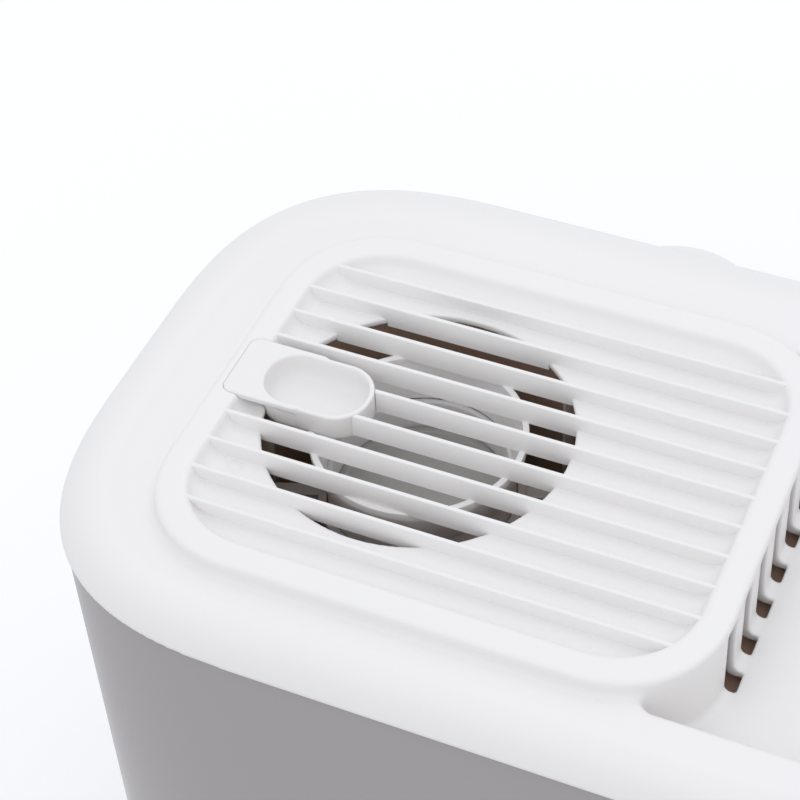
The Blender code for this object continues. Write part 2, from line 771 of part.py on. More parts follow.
def screw(name, place, head_low, head_high, shank_high, head_radius, shank_radius):
    profile = [
        (0, head_low),
        (head_radius - 0.6, head_low),
        (head_radius, head_low + 0.6),
        (head_radius, head_high),
        (shank_radius, head_high),
        (shank_radius, shank_high),
        (0, shank_high),
    ]
    made = turned(name, place, profile, 16)
    x, y = place
    cut(made, box("drive", (x - 0.5, y - 1.8, head_low - 1), (x + 0.5, y + 1.8, head_low + 0.9)))
    return finish(made, steel())


def make_screws():
    flange_low = DUCT_FLANGE[1]
    for index, place in enumerate(screw_places(), 1):
        screw(f"fan_screw_{index}", place, flange_low - 2.5, flange_low - 0.2, DECK_TOP - 3.4, 3.2, 1.25)
    for index, place in enumerate(case_screw_places(), 1):
        screw(f"case_screw_{index}", place, TAB_LOW - 2.2, TAB_LOW - 0.2, DECK_TOP - 1.3, 3.0, 1.25)


def make_rear_housing():
    housing = rear_post("rear_housing", POST_RADIUS, POST_FLAT_Y, POST_LOW, TANK_TOP)
    add(housing, box("neck", (-12, POST_FLAT_Y + 0.5, TANK_TOP - 1), (12, 83.0, 289.0)))
    inlet_bore = cylinder("bore", (0.0, INLET_Z), INLET_RADIUS + GAP, -130.0, -70.0, 28)
    inlet_bore.rotation_euler = (math.radians(90), 0, 0)
    inlet_mouth = cylinder("mouth", (0.0, INLET_Z), 9.0, -130.0, -INLET_FACE_Y - 0.2, 32)
    inlet_mouth.rotation_euler = (math.radians(90), 0, 0)
    cut(housing, inlet_bore, inlet_mouth)
    finish(housing, white_plastic())
    radius, depth = INLET_RADIUS, INLET_DEPTH
    profile = [(3.2, 0), (radius, 0), (radius, depth), (0, depth), (0, depth - 3), (3.2, depth - 3)]
    sleeve = turned("power_inlet", (0, 0), profile, 24)
    add(sleeve, cylinder("pin", (0, 0), 1.0, 1.2, 10.0, 12))
    for vertex in sleeve.data.vertices:
        x, y, z = vertex.co
        vertex.co = (x, INLET_FACE_Y * MM - z, INLET_Z * MM + y)
    return finish(sleeve, dark_plastic())


def make_controls():
    middle = CONTROL_Y
    end = CASE_HALF_Y
    low_x, high_x = CASE_X
    case = box("control_case", (low_x, middle - end, CASE_LOW), (high_x, middle + end, CASE_TOP))
    wall = CASE_WALL
    room_low = (low_x + wall, middle - end + wall, CASE_LOW + wall)
    room_high = (high_x - wall, middle + end - wall, FRAME_TOP)
    cut(case, box("room", room_low, room_high))
    for side in (-1, 1):
        ends = sorted((middle + side * (end - 1), middle + side * (end + 9)))
        add(case, box("tab", (low_x + 1.5, ends[0], TAB_LOW), (low_x + 9.5, ends[1], CASE_TOP)))
    for place in case_screw_places():
        cut(case, cylinder("hole", place, 1.7, TAB_LOW - 4, FRAME_TOP, 12))
    finish(case, dark_plastic())
    board_low = (low_x + 2.0, middle - end + 2.0, BOARD_HEIGHTS[0])
    board_high = (high_x - 2.0, middle + end - 2.0, BOARD_HEIGHTS[1])
    board = box("control_board", board_low, board_high)
    finish(board, material("board_green", (0.05, 0.22, 0.10), 0.5))
    pad_low, pad_high = PAD_HEIGHTS
    pad = box("button_pad", (BUTTON_X - 5.0, middle - 25, pad_low), (BUTTON_X + 5.0, middle + 25, pad_high))
    for place in button_places():
        add(pad, cylinder("dome", place, 3.0, pad_low + 0.6, pad_high + 1.8, 16))
    finish(pad, material("silicone", (0.55, 0.55, 0.56), 0.75))
    lens = cylinder("indicator_lens", lens_place(), 2.0, pad_low, DECK_TOP + 0.1, 20)
    finish(lens, material("lens_blue", (0.45, 0.62, 0.85), 0.2))
    for name, place in zip(("button_power", "button_speed", "button_timer"), button_places()):
        profile = [
            (0, BUTTON_LOW),
            (BUTTON_RADIUS + 1.0, BUTTON_LOW),
            (BUTTON_RADIUS + 1.0, BUTTON_LOW + 1.8),
            (BUTTON_RADIUS, BUTTON_LOW + 1.8),
            (BUTTON_RADIUS, BUTTON_TOP - 0.8),
            (BUTTON_RADIUS - 0.8, BUTTON_TOP),
            (0, BUTTON_TOP),
        ]
        finish(turned(name, place, profile, 28), white_plastic(), (*place, 292.0))


def make_air_guide():
    """A trough under the comb that turns the air towards the filter; it is open at the top and left."""
    left, front, low = GUIDE_LOW
    right, back, high = GUIDE_HIGH
    wall = GUIDE_WALL
    guide = box("air_guide", GUIDE_LOW, GUIDE_HIGH)
    cut(guide, box("trough", (left - 1, front + wall, low + wall), (right - wall, back - wall, high + 1)))
    return finish(guide, brown_plastic())


def make_lid_seal():
    low, high = SEAL_GROOVE
    seal = prism("lid_seal", lip_outline(SKIRT_INSET - 0.25), low + GAP, high - GAP)
    cut(seal, prism("core", lip_outline(SKIRT_INSET + 0.85), low - 1, high + 1))
    cut(seal, box("seal_gap", (-SEAL_GAP_X - 0.5, SEAL_GAP_Y, low - 1), (SEAL_GAP_X + 0.5, 100, high + 1)))
    return finish(seal, rubber())


def main():
    clear_scene()
    make_tank()
    make_feet()
    make_level_window()
    make_wick_filter()
    make_top_deck()
    make_scent_tray()
    make_lid_seal()
    make_air_guide()
    make_fan_housing()
    make_motor()
    make_impeller()
    make_rear_housing()
    make_controls()
    make_screws()


main()
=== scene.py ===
"""Looks of the cool mist humidifier: fine moulded surfaces, materials, light and camera.

Sizes are in millimetres until a mesh is made, in the frame's own axes.
"""

import math

import bmesh
import bpy
import numpy as np
from mathutils import Matrix, Vector


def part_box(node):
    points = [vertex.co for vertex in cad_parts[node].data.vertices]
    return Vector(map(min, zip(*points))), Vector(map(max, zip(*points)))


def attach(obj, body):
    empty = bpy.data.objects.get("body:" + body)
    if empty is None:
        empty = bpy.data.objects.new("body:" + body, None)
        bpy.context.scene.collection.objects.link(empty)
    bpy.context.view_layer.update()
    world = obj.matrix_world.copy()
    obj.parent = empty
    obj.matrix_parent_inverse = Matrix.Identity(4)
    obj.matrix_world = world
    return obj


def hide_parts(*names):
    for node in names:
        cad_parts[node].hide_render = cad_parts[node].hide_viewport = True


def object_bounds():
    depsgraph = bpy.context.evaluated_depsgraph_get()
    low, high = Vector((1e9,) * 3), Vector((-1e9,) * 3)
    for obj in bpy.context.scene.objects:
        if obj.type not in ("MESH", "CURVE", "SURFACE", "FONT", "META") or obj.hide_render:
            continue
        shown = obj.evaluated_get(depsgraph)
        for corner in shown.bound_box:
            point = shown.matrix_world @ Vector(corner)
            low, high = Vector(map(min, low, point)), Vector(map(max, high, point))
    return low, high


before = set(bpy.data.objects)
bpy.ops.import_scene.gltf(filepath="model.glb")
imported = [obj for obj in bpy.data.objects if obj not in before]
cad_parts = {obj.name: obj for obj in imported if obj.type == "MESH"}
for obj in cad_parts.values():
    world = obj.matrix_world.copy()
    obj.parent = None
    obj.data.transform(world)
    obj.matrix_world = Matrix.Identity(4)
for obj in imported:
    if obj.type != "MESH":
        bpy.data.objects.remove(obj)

CAD_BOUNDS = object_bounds()
MM = 0.001


def node_box(node):
    """Lowest and highest corners of a CAD node, in millimetres."""
    low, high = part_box(node)
    return np.array(low) / MM, np.array(high) / MM


# Places read from the frame
DECK_LOW, DECK_HIGH = node_box("top_deck")
TANK_LOW, TANK_HIGH = node_box("water_tank")
TRAY_BOX_LOW, TRAY_BOX_HIGH = node_box("scent_tray")
POST_LOW, POST_HIGH = node_box("rear_housing")
PLUG_LOW, PLUG_HIGH = node_box("power_inlet")
DUCT_BOX_LOW, DUCT_BOX_HIGH = node_box("fan_housing")
CUP_LOW, CUP_HIGH = node_box("motor_pod")
DISC_LOW, DISC_HIGH = node_box("pod_disc")
WICK_LOW, WICK_HIGH = node_box("wick_filter")
BASE_LOW, BASE_HIGH = node_box("filter_base")
CAP_LOW, CAP_HIGH = node_box("filter_cap")
WINDOW_LOW, WINDOW_HIGH = node_box("level_window")
FAN_CENTRE = tuple((DUCT_BOX_LOW[:2] + DUCT_BOX_HIGH[:2]) / 2)

# Lid heights and outlines
FRAME_TOP = DECK_HIGH[2]
DECK_TOP = FRAME_TOP - 5.0
LIP_Z = TANK_HIGH[2] + 0.3
BASIN_FLOOR = DECK_LOW[2] + 2.5
SKIN = 2.5
LIP_BAND = 8.0
WELL_INSIDE = -9.0
LID_CENTRE = tuple((DECK_LOW[:2] + DECK_HIGH[:2]) / 2)
LID_HALF = tuple((DECK_HIGH[:2] - DECK_LOW[:2]) / 2)
LID_CORNER = 83.0
LID_POWER = 2.72
CREASE_CENTRE = (LID_CENTRE[0], LID_CENTRE[1] - 5.4)
CREASE_HALF = (LID_HALF[0] - 17.0, LID_HALF[1] - 19.6)
CREASE_CORNER = 62.0
CROWN_POWER = 2.67
CREASE_DIP = 0.22
CREASE_SPREAD = 2.2
COVER_CENTRE = (LID_CENTRE[0] - 25.5, LID_CENTRE[1] - 7.7)
COVER_HALF = (82.3, 68.5)
COVER_CORNER = 34.0
RECESS_HALF = (73.8, 59.6)
RECESS_CORNER = 26.0
COVER_POWER = 2.2

# Slats, ring and cone over the fan
SLAT_COUNT = 10
SLAT_PITCH = 11.0
SLAT_HALF = 0.9
SLAT_TIP = 0.72
SLAT_TOP = FRAME_TOP - 0.3
SLAT_LOW = FRAME_TOP - 7.8
SLAT_CLEARANCE = 0.15
CUP_ROOM = (285.0, 305.0)
HOLE_RADIUS = 44.6
RING_RADIUS = 30.45
RING_HALF = 0.95
RING_TOP = FRAME_TOP - 7.4
RING_LOW = FRAME_TOP - 10.0
CONE_LOW = CUP_HIGH[2] + 0.3
CONE_RADIUS = (CUP_HIGH[0] - CUP_LOW[0]) / 2 + 0.2
CONE_HALF = 0.7

# Fill basin and comb
BASIN_X = (41.0, 107.0)
BASIN_Y = (COVER_CENTRE[1] - COVER_HALF[1] + 0.9, COVER_CENTRE[1] + COVER_HALF[1] - 1.0)
BASIN_CORNER = 5.0
COMB_COUNT = 7
COMB_PITCH = 13.3
COMB_FIRST_Y = COVER_CENTRE[1] - 36.7
COMB_HALF = 3.3
COMB_TOP = FRAME_TOP - 2.4
COMB_X = (COVER_CENTRE[0] + COVER_HALF[0] - 3.3, COVER_CENTRE[0] + COVER_HALF[0] + 2.7)

# Scent tray
TRAY_HALF = (17.0, 10.9)
TRAY_CENTRE = (TRAY_BOX_HIGH[0] - TRAY_HALF[0], (TRAY_BOX_LOW[1] + TRAY_BOX_HIGH[1]) / 2)
TRAY_CORNER = 10.4
TRAY_LOW = TRAY_BOX_LOW[2]
FLANGE_LEFT = TRAY_BOX_LOW[0]
FLANGE_HALF_Y = (TRAY_BOX_HIGH[1] - TRAY_BOX_LOW[1]) / 2
FLANGE_THICK = 1.9
FLANGE_CORNER = 3.2
TRAY_WALL = 1.5
SCOOP_RISE = 0.006
SEAM = 0.06

# Tank, skirt, rear post, keys and window
TANK_INSET = LID_HALF[0] - (TANK_HIGH[0] - TANK_LOW[0]) / 2
TANK_WALL = 2.6
TANK_FLOOR = 3.0
TANK_CURVE = (9.0, 12.0)
POCKET_WALL = 2.6
POCKET_FLAT_Y = 77.5
SKIRT_INSET = TANK_INSET + TANK_WALL + 0.5
SKIRT_WALL = 2.0
SKIRT_LOW = DECK_LOW[2] + 4.5
POST_RADIUS = 25.0
POST_CENTRE_Y = POST_HIGH[1] - POST_RADIUS
POST_FLAT_Y = 78.0
POST_GAP = (31.0, 60.0)
BUTTON_RADIUS = 5.0
LENS_RADIUS = 2.0
KEY_HOLE_DEPTH = 6.0
BOSS_LOW = 284.0
BOSS_RADII = (1.5, 4.0)
MARK_CENTRE = (COVER_CENTRE[0] - 64.8, COVER_CENTRE[1] - 30.6)
MARK_RADIUS = 1.9
MARK_DEPTH = 0.35
MARK_SPREAD = 0.7
WINDOW_BORDER = 4.0
WINDOW_FLANGE = 1.8
FOOT_SHOULDER = 1.9

# Fan unit and filter
DUCT_INNER = 48.0
DUCT_OUTER = 49.6
DUCT_FLANGE = (281.0, 283.7)
HUB_RADII = (27.8, 30.4)
HUB_HEIGHTS = (256.0, 268.0)
RIB_ANGLES = (8, 44, 152, 188, 224, 260, 296, 332)
RIB_LOW = 250.0
CUP_FLOOR = (262.5, 265.5)
CUP_WALL = 1.9
CUP_SKIRT_WALL = 2.1
ROTOR_Z = 237.5
ROTOR_HUB = 18.5
ROTOR_HUB_HEIGHTS = (231.0, 244.0)
ROTOR_BORE = 2.3
BLADE_COUNT = 7
BLADE_REACH = (17.2, 45.2)
BLADE_PITCH = (48.0, 26.0)
PLEAT_COUNT = 60
PLEAT_DEPTH = 2.3
WICK_RADII = (47.2, 59.3)
DISH_FLOOR = (13.5, 16.7)
DISH_TOP = 26.0
DISH_BORE = 60.4
LEG_REACH = 52.0
LEG_HALF = 4.0

# Light
LIGHT_COLOUR = (0.98, 1.0, 1.04)


# --- distance fields -------------------------------------------------------------------------


class Lattice:
    """A regular lattice of sample points, in millimetres."""

    def __init__(self, low, high, steps):
        self.low = np.array(low, np.float32)
        self.steps = np.array(steps, np.float32)
        counts = [int(math.ceil((h - l) / s)) + 1 for l, h, s in zip(low, high, steps)]
        axes = [l + s * np.arange(n, dtype=np.float32) for l, s, n in zip(low, steps, counts)]
        self.x = axes[0][:, None, None]
        self.y = axes[1][None, :, None]
        self.z = axes[2][None, None, :]


def rounded_rect(x, y, centre, half, corner, power=2.0):
    """Distance to a rounded rectangle, negative inside; a higher power makes fuller corners."""
    qx = np.abs(x - centre[0]) - (half[0] - corner)
    qy = np.abs(y - centre[1]) - (half[1] - corner)
    outside = (np.maximum(qx, 0) ** power + np.maximum(qy, 0) ** power) ** (1.0 / power)
    return outside + np.minimum(np.maximum(qx, qy), 0) - corner


def join(a, b, blend):
    """Union with a fillet of about the size of blend."""
    h = np.maximum(blend - np.abs(a - b), 0) / blend
    return np.minimum(a, b) - h * h * blend * 0.25


def meet(a, b, blend):
    """Intersection with a rounded edge of about the size of blend."""
    h = np.maximum(blend - np.abs(a - b), 0) / blend
    return np.maximum(a, b) + h * h * blend * 0.25


def cell_counts(inside):
    """How many of each cell's eight corners are inside the solid."""
    return (
        inside[:-1, :-1, :-1].astype(np.int8)
        + inside[1:, :-1, :-1]
        + inside[:-1, 1:, :-1]
        + inside[1:, 1:, :-1]
        + inside[:-1, :-1, 1:]
        + inside[1:, :-1, 1:]
        + inside[:-1, 1:, 1:]
        + inside[1:, 1:, 1:]
    )


def cell_points(lattice, field, cells):
    """One point for each crossed cell: the mean of where the surface meets the cell's edges."""
    offsets = np.array([(i, j, k) for i in (0, 1) for j in (0, 1) for k in (0, 1)])
    values = np.stack([field[tuple((cells + o).T)] for o in offsets], 1)
    summed = np.zeros((len(cells), 3), np.float32)
    hits = np.zeros(len(cells), np.float32)
    for a in range(8):
        for b in range(a + 1, 8):
            if np.abs(offsets[a] - offsets[b]).sum() != 1:
                continue
            va, vb = values[:, a], values[:, b]
            crossed = (va < 0) != (vb < 0)
            share = np.where(crossed, va / np.where(crossed, va - vb, 1), 0)
            point = offsets[a] + share[:, None] * (offsets[b] - offsets[a])
            summed += np.where(crossed[:, None], point, 0)
            hits += crossed
    return lattice.low + (cells + summed / hits[:, None]) * lattice.steps


def axis_quads(inside, number, axis):
    """A quad round each lattice edge along one axis that passes through the surface."""
    first = [slice(None)] * 3
    second = [slice(None)] * 3
    first[axis] = slice(0, -1)
    second[axis] = slice(1, None)
    edges = np.argwhere(inside[tuple(first)] != inside[tuple(second)])
    u, v = (axis + 1) % 3, (axis + 2) % 3
    edges = edges[(edges[:, u] > 0) & (edges[:, v] > 0)]
    edges = edges[(edges[:, u] < inside.shape[u] - 1) & (edges[:, v] < inside.shape[v] - 1)]
    corners = []
    for du, dv in ((-1, -1), (0, -1), (0, 0), (-1, 0)):
        cell = edges.copy()
        cell[:, u] += du
        cell[:, v] += dv
        corners.append(number[tuple(cell.T)])
    quad = np.stack(corners, 1)
    outward = inside[tuple(edges.T)]
    quad[~outward] = quad[~outward][:, ::-1]
    return quad


def surface(lattice, field):
    """The zero surface of a field by surface nets: its points and quads, facing out."""
    inside = field < 0
    counts = cell_counts(inside)
    cells = np.argwhere((counts > 0) & (counts < 8))
    number = np.full(counts.shape, -1, np.int32)
    number[tuple(cells.T)] = np.arange(len(cells), dtype=np.int32)
    quads = [axis_quads(inside, number, axis) for axis in range(3)]
    return cell_points(lattice, field, cells), np.concatenate(quads)


def mesh_of(name, points, quads):
    """A mesh object from arrays of points in millimetres and quads."""
    mesh = bpy.data.meshes.new(name)
    mesh.vertices.add(len(points))
    mesh.vertices.foreach_set("co", (points * MM).astype(np.float32).ravel())
    mesh.loops.add(quads.size)
    mesh.loops.foreach_set("vertex_index", quads.astype(np.int32).ravel())
    mesh.polygons.add(len(quads))
    mesh.polygons.foreach_set("loop_start", np.arange(0, quads.size, 4, dtype=np.int32))
    mesh.polygons.foreach_set("loop_total", np.full(len(quads), 4, np.int32))
    mesh.update(calc_edges=True)
    mesh.validate()
    obj = bpy.data.objects.new(name, mesh)
    bpy.context.scene.collection.objects.link(obj)
    return obj


def apply_modifiers(obj):
    bpy.context.view_layer.update()
    graph = bpy.context.evaluated_depsgraph_get()
    result = bpy.data.meshes.new_from_object(obj.evaluated_get(graph))
    obj.modifiers.clear()
    obj.data = result
    return obj


def moulded(name, lattice, field, faces):
    """A smooth object from a field, thinned to about this many triangles."""
    points, quads = surface(lattice, field)
    obj = mesh_of(name, points, quads)
    ratio = faces / (2.0 * len(quads))
    if ratio < 1:
        thin = obj.modifiers.new("thin", "DECIMATE")
        thin.ratio = ratio
        apply_modifiers(obj)
    obj.data.shade_smooth()
    return obj


# --- the lid ---------------------------------------------------------------------------------


def crown_height(lip, crease, drop):
    """Height of the lid's crowned top where it passes from the flat deck to the lip."""
    share = np.clip(crease / np.maximum(crease - lip, 1e-3), 0, 1)
    dip = CREASE_DIP * np.exp(-((crease / CREASE_SPREAD) ** 2))
    return DECK_TOP - drop - dip - (DECK_TOP - LIP_Z) * share**CROWN_POWER


def lid_field(at):
    """The whole lid: a solid with its outer shape, hollowed to a thin wall, then cut and fitted."""
    lip = rounded_rect(at.x, at.y, LID_CENTRE, LID_HALF, LID_CORNER, LID_POWER)
    crease = rounded_rect(at.x, at.y, CREASE_CENTRE, CREASE_HALF, CREASE_CORNER, LID_POWER)
    cover = rounded_rect(at.x, at.y, COVER_CENTRE, COVER_HALF, COVER_CORNER, COVER_POWER)
    recess = rounded_rect(at.x, at.y, COVER_CENTRE, RECESS_HALF, RECESS_CORNER, COVER_POWER)
    fan = np.hypot(at.x - FAN_CENTRE[0], at.y - FAN_CENTRE[1])
    solid = meet(at.z - crown_height(lip, crease, 0.0), lip, 1.4)
    solid = with_basin(at, solid)
    solid = with_frame(at, solid, cover, recess)
    field = np.maximum(solid, -(solid + SKIN))
    field = meet(field, np.where(lip > -LIP_BAND, LIP_Z - at.z, WELL_INSIDE), 0.6)
    field = np.minimum(field, lid_skirt(at, lip, crease))
    field = meet(field, HOLE_RADIUS - fan, 0.8)
    field = with_comb(at, field)
    field = with_holes(at, field)
    return field


def lid_skirt(at, lip, crease):
    """The wall that drops inside the tank, with a gap where the rear post passes."""
    ring = np.abs(lip + SKIRT_INSET + SKIRT_WALL / 2) - SKIRT_WALL / 2
    skirt = np.maximum(ring, at.z - crown_height(lip, crease, 0.6))
    skirt = meet(skirt, SKIRT_LOW - at.z, 0.8)
    post_gap = np.maximum(np.abs(at.x) - POST_GAP[0], POST_GAP[1] - at.y)
    return np.maximum(skirt, -post_gap)


def with_basin(at, field):
    """Sinks the fill basin."""
    centre = (sum(BASIN_X) / 2, sum(BASIN_Y) / 2)
    half = ((BASIN_X[1] - BASIN_X[0]) / 2, (BASIN_Y[1] - BASIN_Y[0]) / 2)
    basin = rounded_rect(at.x, at.y, centre, half, BASIN_CORNER)
    room = meet(basin, BASIN_FLOOR - at.z, 7.0)
    return meet(field, -room, 2.6)


def with_frame(at, field, cover, recess):
    """Adds the raised frame, whose right wall goes down into the basin, and cuts the recess."""
    field = join(field, meet(cover, at.z - FRAME_TOP, 1.8), 2.6)
    mark = np.abs(np.hypot(at.x - MARK_CENTRE[0], at.y - MARK_CENTRE[1]) - MARK_RADIUS)
    floor = DECK_TOP - MARK_DEPTH * np.exp(-((mark / MARK_SPREAD) ** 2))
    room = meet(recess, floor - at.z, 6.5)
    return meet(field, -room, 1.6)


def with_comb(at, field):
    """Cuts the row of slots through the wall between the frame and the basin."""
    nearest = np.clip(np.round((at.y - COMB_FIRST_Y) / COMB_PITCH), 0, COMB_COUNT - 1)
    across = np.abs(at.y - COMB_FIRST_Y - nearest * COMB_PITCH) - COMB_HALF
    along = np.abs(at.x - sum(COMB_X) / 2) - (COMB_X[1] - COMB_X[0]) / 2
    slot = meet(meet(across, along, 0.6), at.z - COMB_TOP, 1.4)
    return meet(field, -slot, 0.5)


def tray_shape(at, grow=0.0):
    return rounded_rect(at.x, at.y, TRAY_CENTRE, TRAY_HALF, TRAY_CORNER) - grow


def flange_shape(at, grow=0.0):
    centre = ((FLANGE_LEFT + TRAY_CENTRE[0]) / 2, TRAY_CENTRE[1])
    half = ((TRAY_CENTRE[0] - FLANGE_LEFT) / 2, FLANGE_HALF_Y)
    return rounded_rect(at.x, at.y, centre, half, FLANGE_CORNER) - grow


def with_holes(at, field):
    """Room for the scent tray, holes for the keys and the lens, and bosses for the fan screws."""
    cup = tray_shape(at, SEAM)
    flange = np.maximum(flange_shape(at, SEAM), FRAME_TOP - FLANGE_THICK - SEAM - at.z)
    field = meet(field, -np.minimum(cup, flange), 0.15)
    for name in ("button_power", "button_speed", "button_timer", "indicator_lens"):
        low, high = node_box(name)
        middle = (low + high) / 2
        radius = (BUTTON_RADIUS if name.startswith("button") else LENS_RADIUS) + SEAM
        hole = np.hypot(at.x - middle[0], at.y - middle[1]) - radius
        field = meet(field, -np.maximum(hole, DECK_TOP - KEY_HOLE_DEPTH - at.z), 0.8)
    for index in range(1, 5):
        low, high = node_box(f"fan_screw_{index}")
        middle = (low + high) / 2
        spread = np.hypot(at.x - middle[0], at.y - middle[1])
        boss = np.maximum(BOSS_LOW - at.z, at.z - DECK_TOP + 1)
        wall = np.abs(spread - sum(BOSS_RADII) / 2) - (BOSS_RADII[1] - BOSS_RADII[0]) / 2
        boss = np.maximum(boss, wall)
        field = np.minimum(field, boss)
    return field


def make_lid(white):
    low = (DECK_LOW[0] - 1.5, DECK_LOW[1] - 1.5, DECK_LOW[2] - 1.2)
    high = (DECK_HIGH[0] + 1.5, DECK_HIGH[1] + 1.5, FRAME_TOP + 1.2)
    at = Lattice(low, high, (0.6, 0.5, 0.45))
    lid = moulded("lid_moulding", at, lid_field(at), 190000)
    dress(lid, "lid", white, "white_top", "top_deck")


def slat_section(low):
    """A bar's cross-section, thinner at its rounded top, as offsets across it and heights."""
    return [
        (-SLAT_HALF, low),
        (SLAT_HALF, low),
        (SLAT_TIP, SLAT_TOP - 0.45),
        (SLAT_TIP - 0.14, SLAT_TOP - 0.14),
        (SLAT_TIP - 0.42, SLAT_TOP),
        (0.42 - SLAT_TIP, SLAT_TOP),
        (0.14 - SLAT_TIP, SLAT_TOP - 0.14),
        (-SLAT_TIP, SLAT_TOP - 0.45),
    ]


def slat_bar(name, y, half_length, centre_x, low):
    shape = bmesh.new()
    ends = []
    for x in (centre_x - half_length, centre_x + half_length):
        ends.append([shape.verts.new((x, y + across, z)) for across, z in slat_section(low)])
    shape.faces.new(ends[0])
    shape.faces.new(list(reversed(ends[1])))
    count = len(ends[0])
    for i in range(count):
        j = (i + 1) % count
        shape.faces.new((ends[0][j], ends[0][i], ends[1][i], ends[1][j]))
    return new_object(name, shape)


def cup_room():
    """The upright space that the scent tray's cup takes."""
    points = outline(TRAY_CENTRE, TRAY_HALF, TRAY_CORNER, 2.0, SLAT_CLEARANCE)
    return loft("cup_room", [(points, z) for z in CUP_ROOM])


def flange_room():
    """The space that the scent tray's flange takes."""
    reach = FLANGE_HALF_Y + SLAT_CLEARANCE
    low = (FLANGE_LEFT - 1, TRAY_CENTRE[1] - reach, FRAME_TOP - FLANGE_THICK - SLAT_CLEARANCE)
    high = (TRAY_CENTRE[0], TRAY_CENTRE[1] + reach, FRAME_TOP + 1)
    return block("flange_room", low, high)


def slat_reach(y):
    """Half the recess's width where a bar crosses it, and a little more."""
    across = max(abs(y - COVER_CENTRE[1]) - (RECESS_HALF[1] - RECESS_CORNER), 0) / RECESS_CORNER
    corner = RECESS_CORNER * (1 - (1 - across**COVER_POWER) ** (1 / COVER_POWER))
    return RECESS_HALF[0] - corner + 1.2


def make_slats(white):
    """Ten bars across the recess, deeper over the fan, and the ring that ties them together."""
    first = COVER_CENTRE[1] - (SLAT_COUNT - 1) * SLAT_PITCH / 2
    for index in range(SLAT_COUNT):
        y = first + index * SLAT_PITCH
        bar = slat_bar(f"slat_{index + 1}", y, slat_reach(y), COVER_CENTRE[0], DECK_TOP - 0.8)
        chord = HOLE_RADIUS**2 - (y - FAN_CENTRE[1]) ** 2
        if chord > 0:
            deep = slat_bar("deep", y, math.sqrt(chord) + 0.8, FAN_CENTRE[0], SLAT_LOW)
            bar = boolean(bar, deep, "UNION")
        bar = boolean(bar, cup_room(), "DIFFERENCE")
        bar = boolean(bar, flange_room(), "DIFFERENCE")
        dress(smooth_shade(bar), "lid", white, "white_top")
    corners = [
        (CONE_RADIUS - CONE_HALF, CONE_LOW),
        (CONE_RADIUS + CONE_HALF, CONE_LOW),
        (RING_RADIUS + RING_HALF, RING_LOW),
        (RING_RADIUS + RING_HALF, RING_TOP),
        (RING_RADIUS - RING_HALF, RING_TOP),
        (RING_RADIUS - RING_HALF, RING_LOW),
    ]
    ring = turned("outlet_ring", FAN_CENTRE, corners, 0.4, 160)
    dress(smooth_shade(boolean(ring, cup_room(), "DIFFERENCE")), "lid", white, "white_top")


def make_tray(white):
    low = (TRAY_BOX_LOW[0] - 1, TRAY_BOX_LOW[1] - 1, TRAY_LOW - 1)
    high = (TRAY_BOX_HIGH[0] + 1, TRAY_BOX_HIGH[1] + 1, FRAME_TOP + 1)
    at = Lattice(low, high, (0.3, 0.3, 0.25))
    cup = meet(meet(tray_shape(at), TRAY_LOW - at.z, 3.0), at.z - FRAME_TOP, 0.9)
    flange = np.maximum(flange_shape(at), FRAME_TOP - FLANGE_THICK - at.z)
    flange = meet(flange, at.z - FRAME_TOP, 0.3)
    field = join(cup, flange, 0.5)
    rise = SCOOP_RISE * np.maximum(TRAY_CENTRE[0] - at.x - 1.0, 0) ** 2
    room = meet(tray_shape(at, -TRAY_WALL), TRAY_LOW + TRAY_WALL + rise - at.z, 4.5)
    field = meet(field, -room, 0.8)
    tray = moulded("scent_cup", at, field, 40000)
    dress(tray, "tray", white, "white_tray", "scent_tray")


# --- lofted and turned pieces ----------------------------------------------------------------


def outline(centre, half, corner, power=2.0, grow=0.0, steps=24):
    """A rounded rectangle as points, anticlockwise."""
    half_x, half_y, corner = half[0] + grow, half[1] + grow, corner + grow
    quarter = []
    for step in range(steps + 1):
        angle = math.pi / 2 * step / steps
        along = max(math.cos(angle), 0.0) ** (2.0 / power)
        across = math.sin(angle) ** (2.0 / power)
        quarter.append((half_x - corner + corner * along, half_y - corner + corner * across))
    points = list(quarter)
    points += [(-x, y) for x, y in reversed(quarter)]
    points += [(-x, -y) for x, y in quarter]
    points += [(x, -y) for x, y in reversed(quarter)]
    return [(centre[0] + x, centre[1] + y) for x, y in points]


def new_object(name, shape):
    bmesh.ops.remove_doubles(shape, verts=shape.verts, dist=1e-4)
    bmesh.ops.recalc_face_normals(shape, faces=shape.faces)
    bmesh.ops.scale(shape, vec=(MM, MM, MM), verts=shape.verts)
    mesh = bpy.data.meshes.new(name)
    shape.to_mesh(mesh)
    shape.free()
    mesh.shade_smooth()
    mesh.set_sharp_from_angle(angle=math.radians(38))
    obj = bpy.data.objects.new(name, mesh)
    bpy.context.scene.collection.objects.link(obj)
    return obj


def loft(name, rings, closed=False):
    """A skin through rings of points at heights: capped at both ends, or closed round like a tube."""
    shape = bmesh.new()
    levels = [[shape.verts.new((x, y, z)) for x, y in points] for points, z in rings]
    count = len(levels[0])
    pairs = list(zip(levels, levels[1:]))
    if closed:
        pairs.append((levels[-1], levels[0]))
    else:
        shape.faces.new(list(reversed(levels[0])))
        shape.faces.new(levels[-1])
    for lower, upper in pairs:
        for i in range(count):
            j = (i + 1) % count
            shape.faces.new((lower[i], lower[j], upper[j], upper[i]))
    return new_object(name, shape)


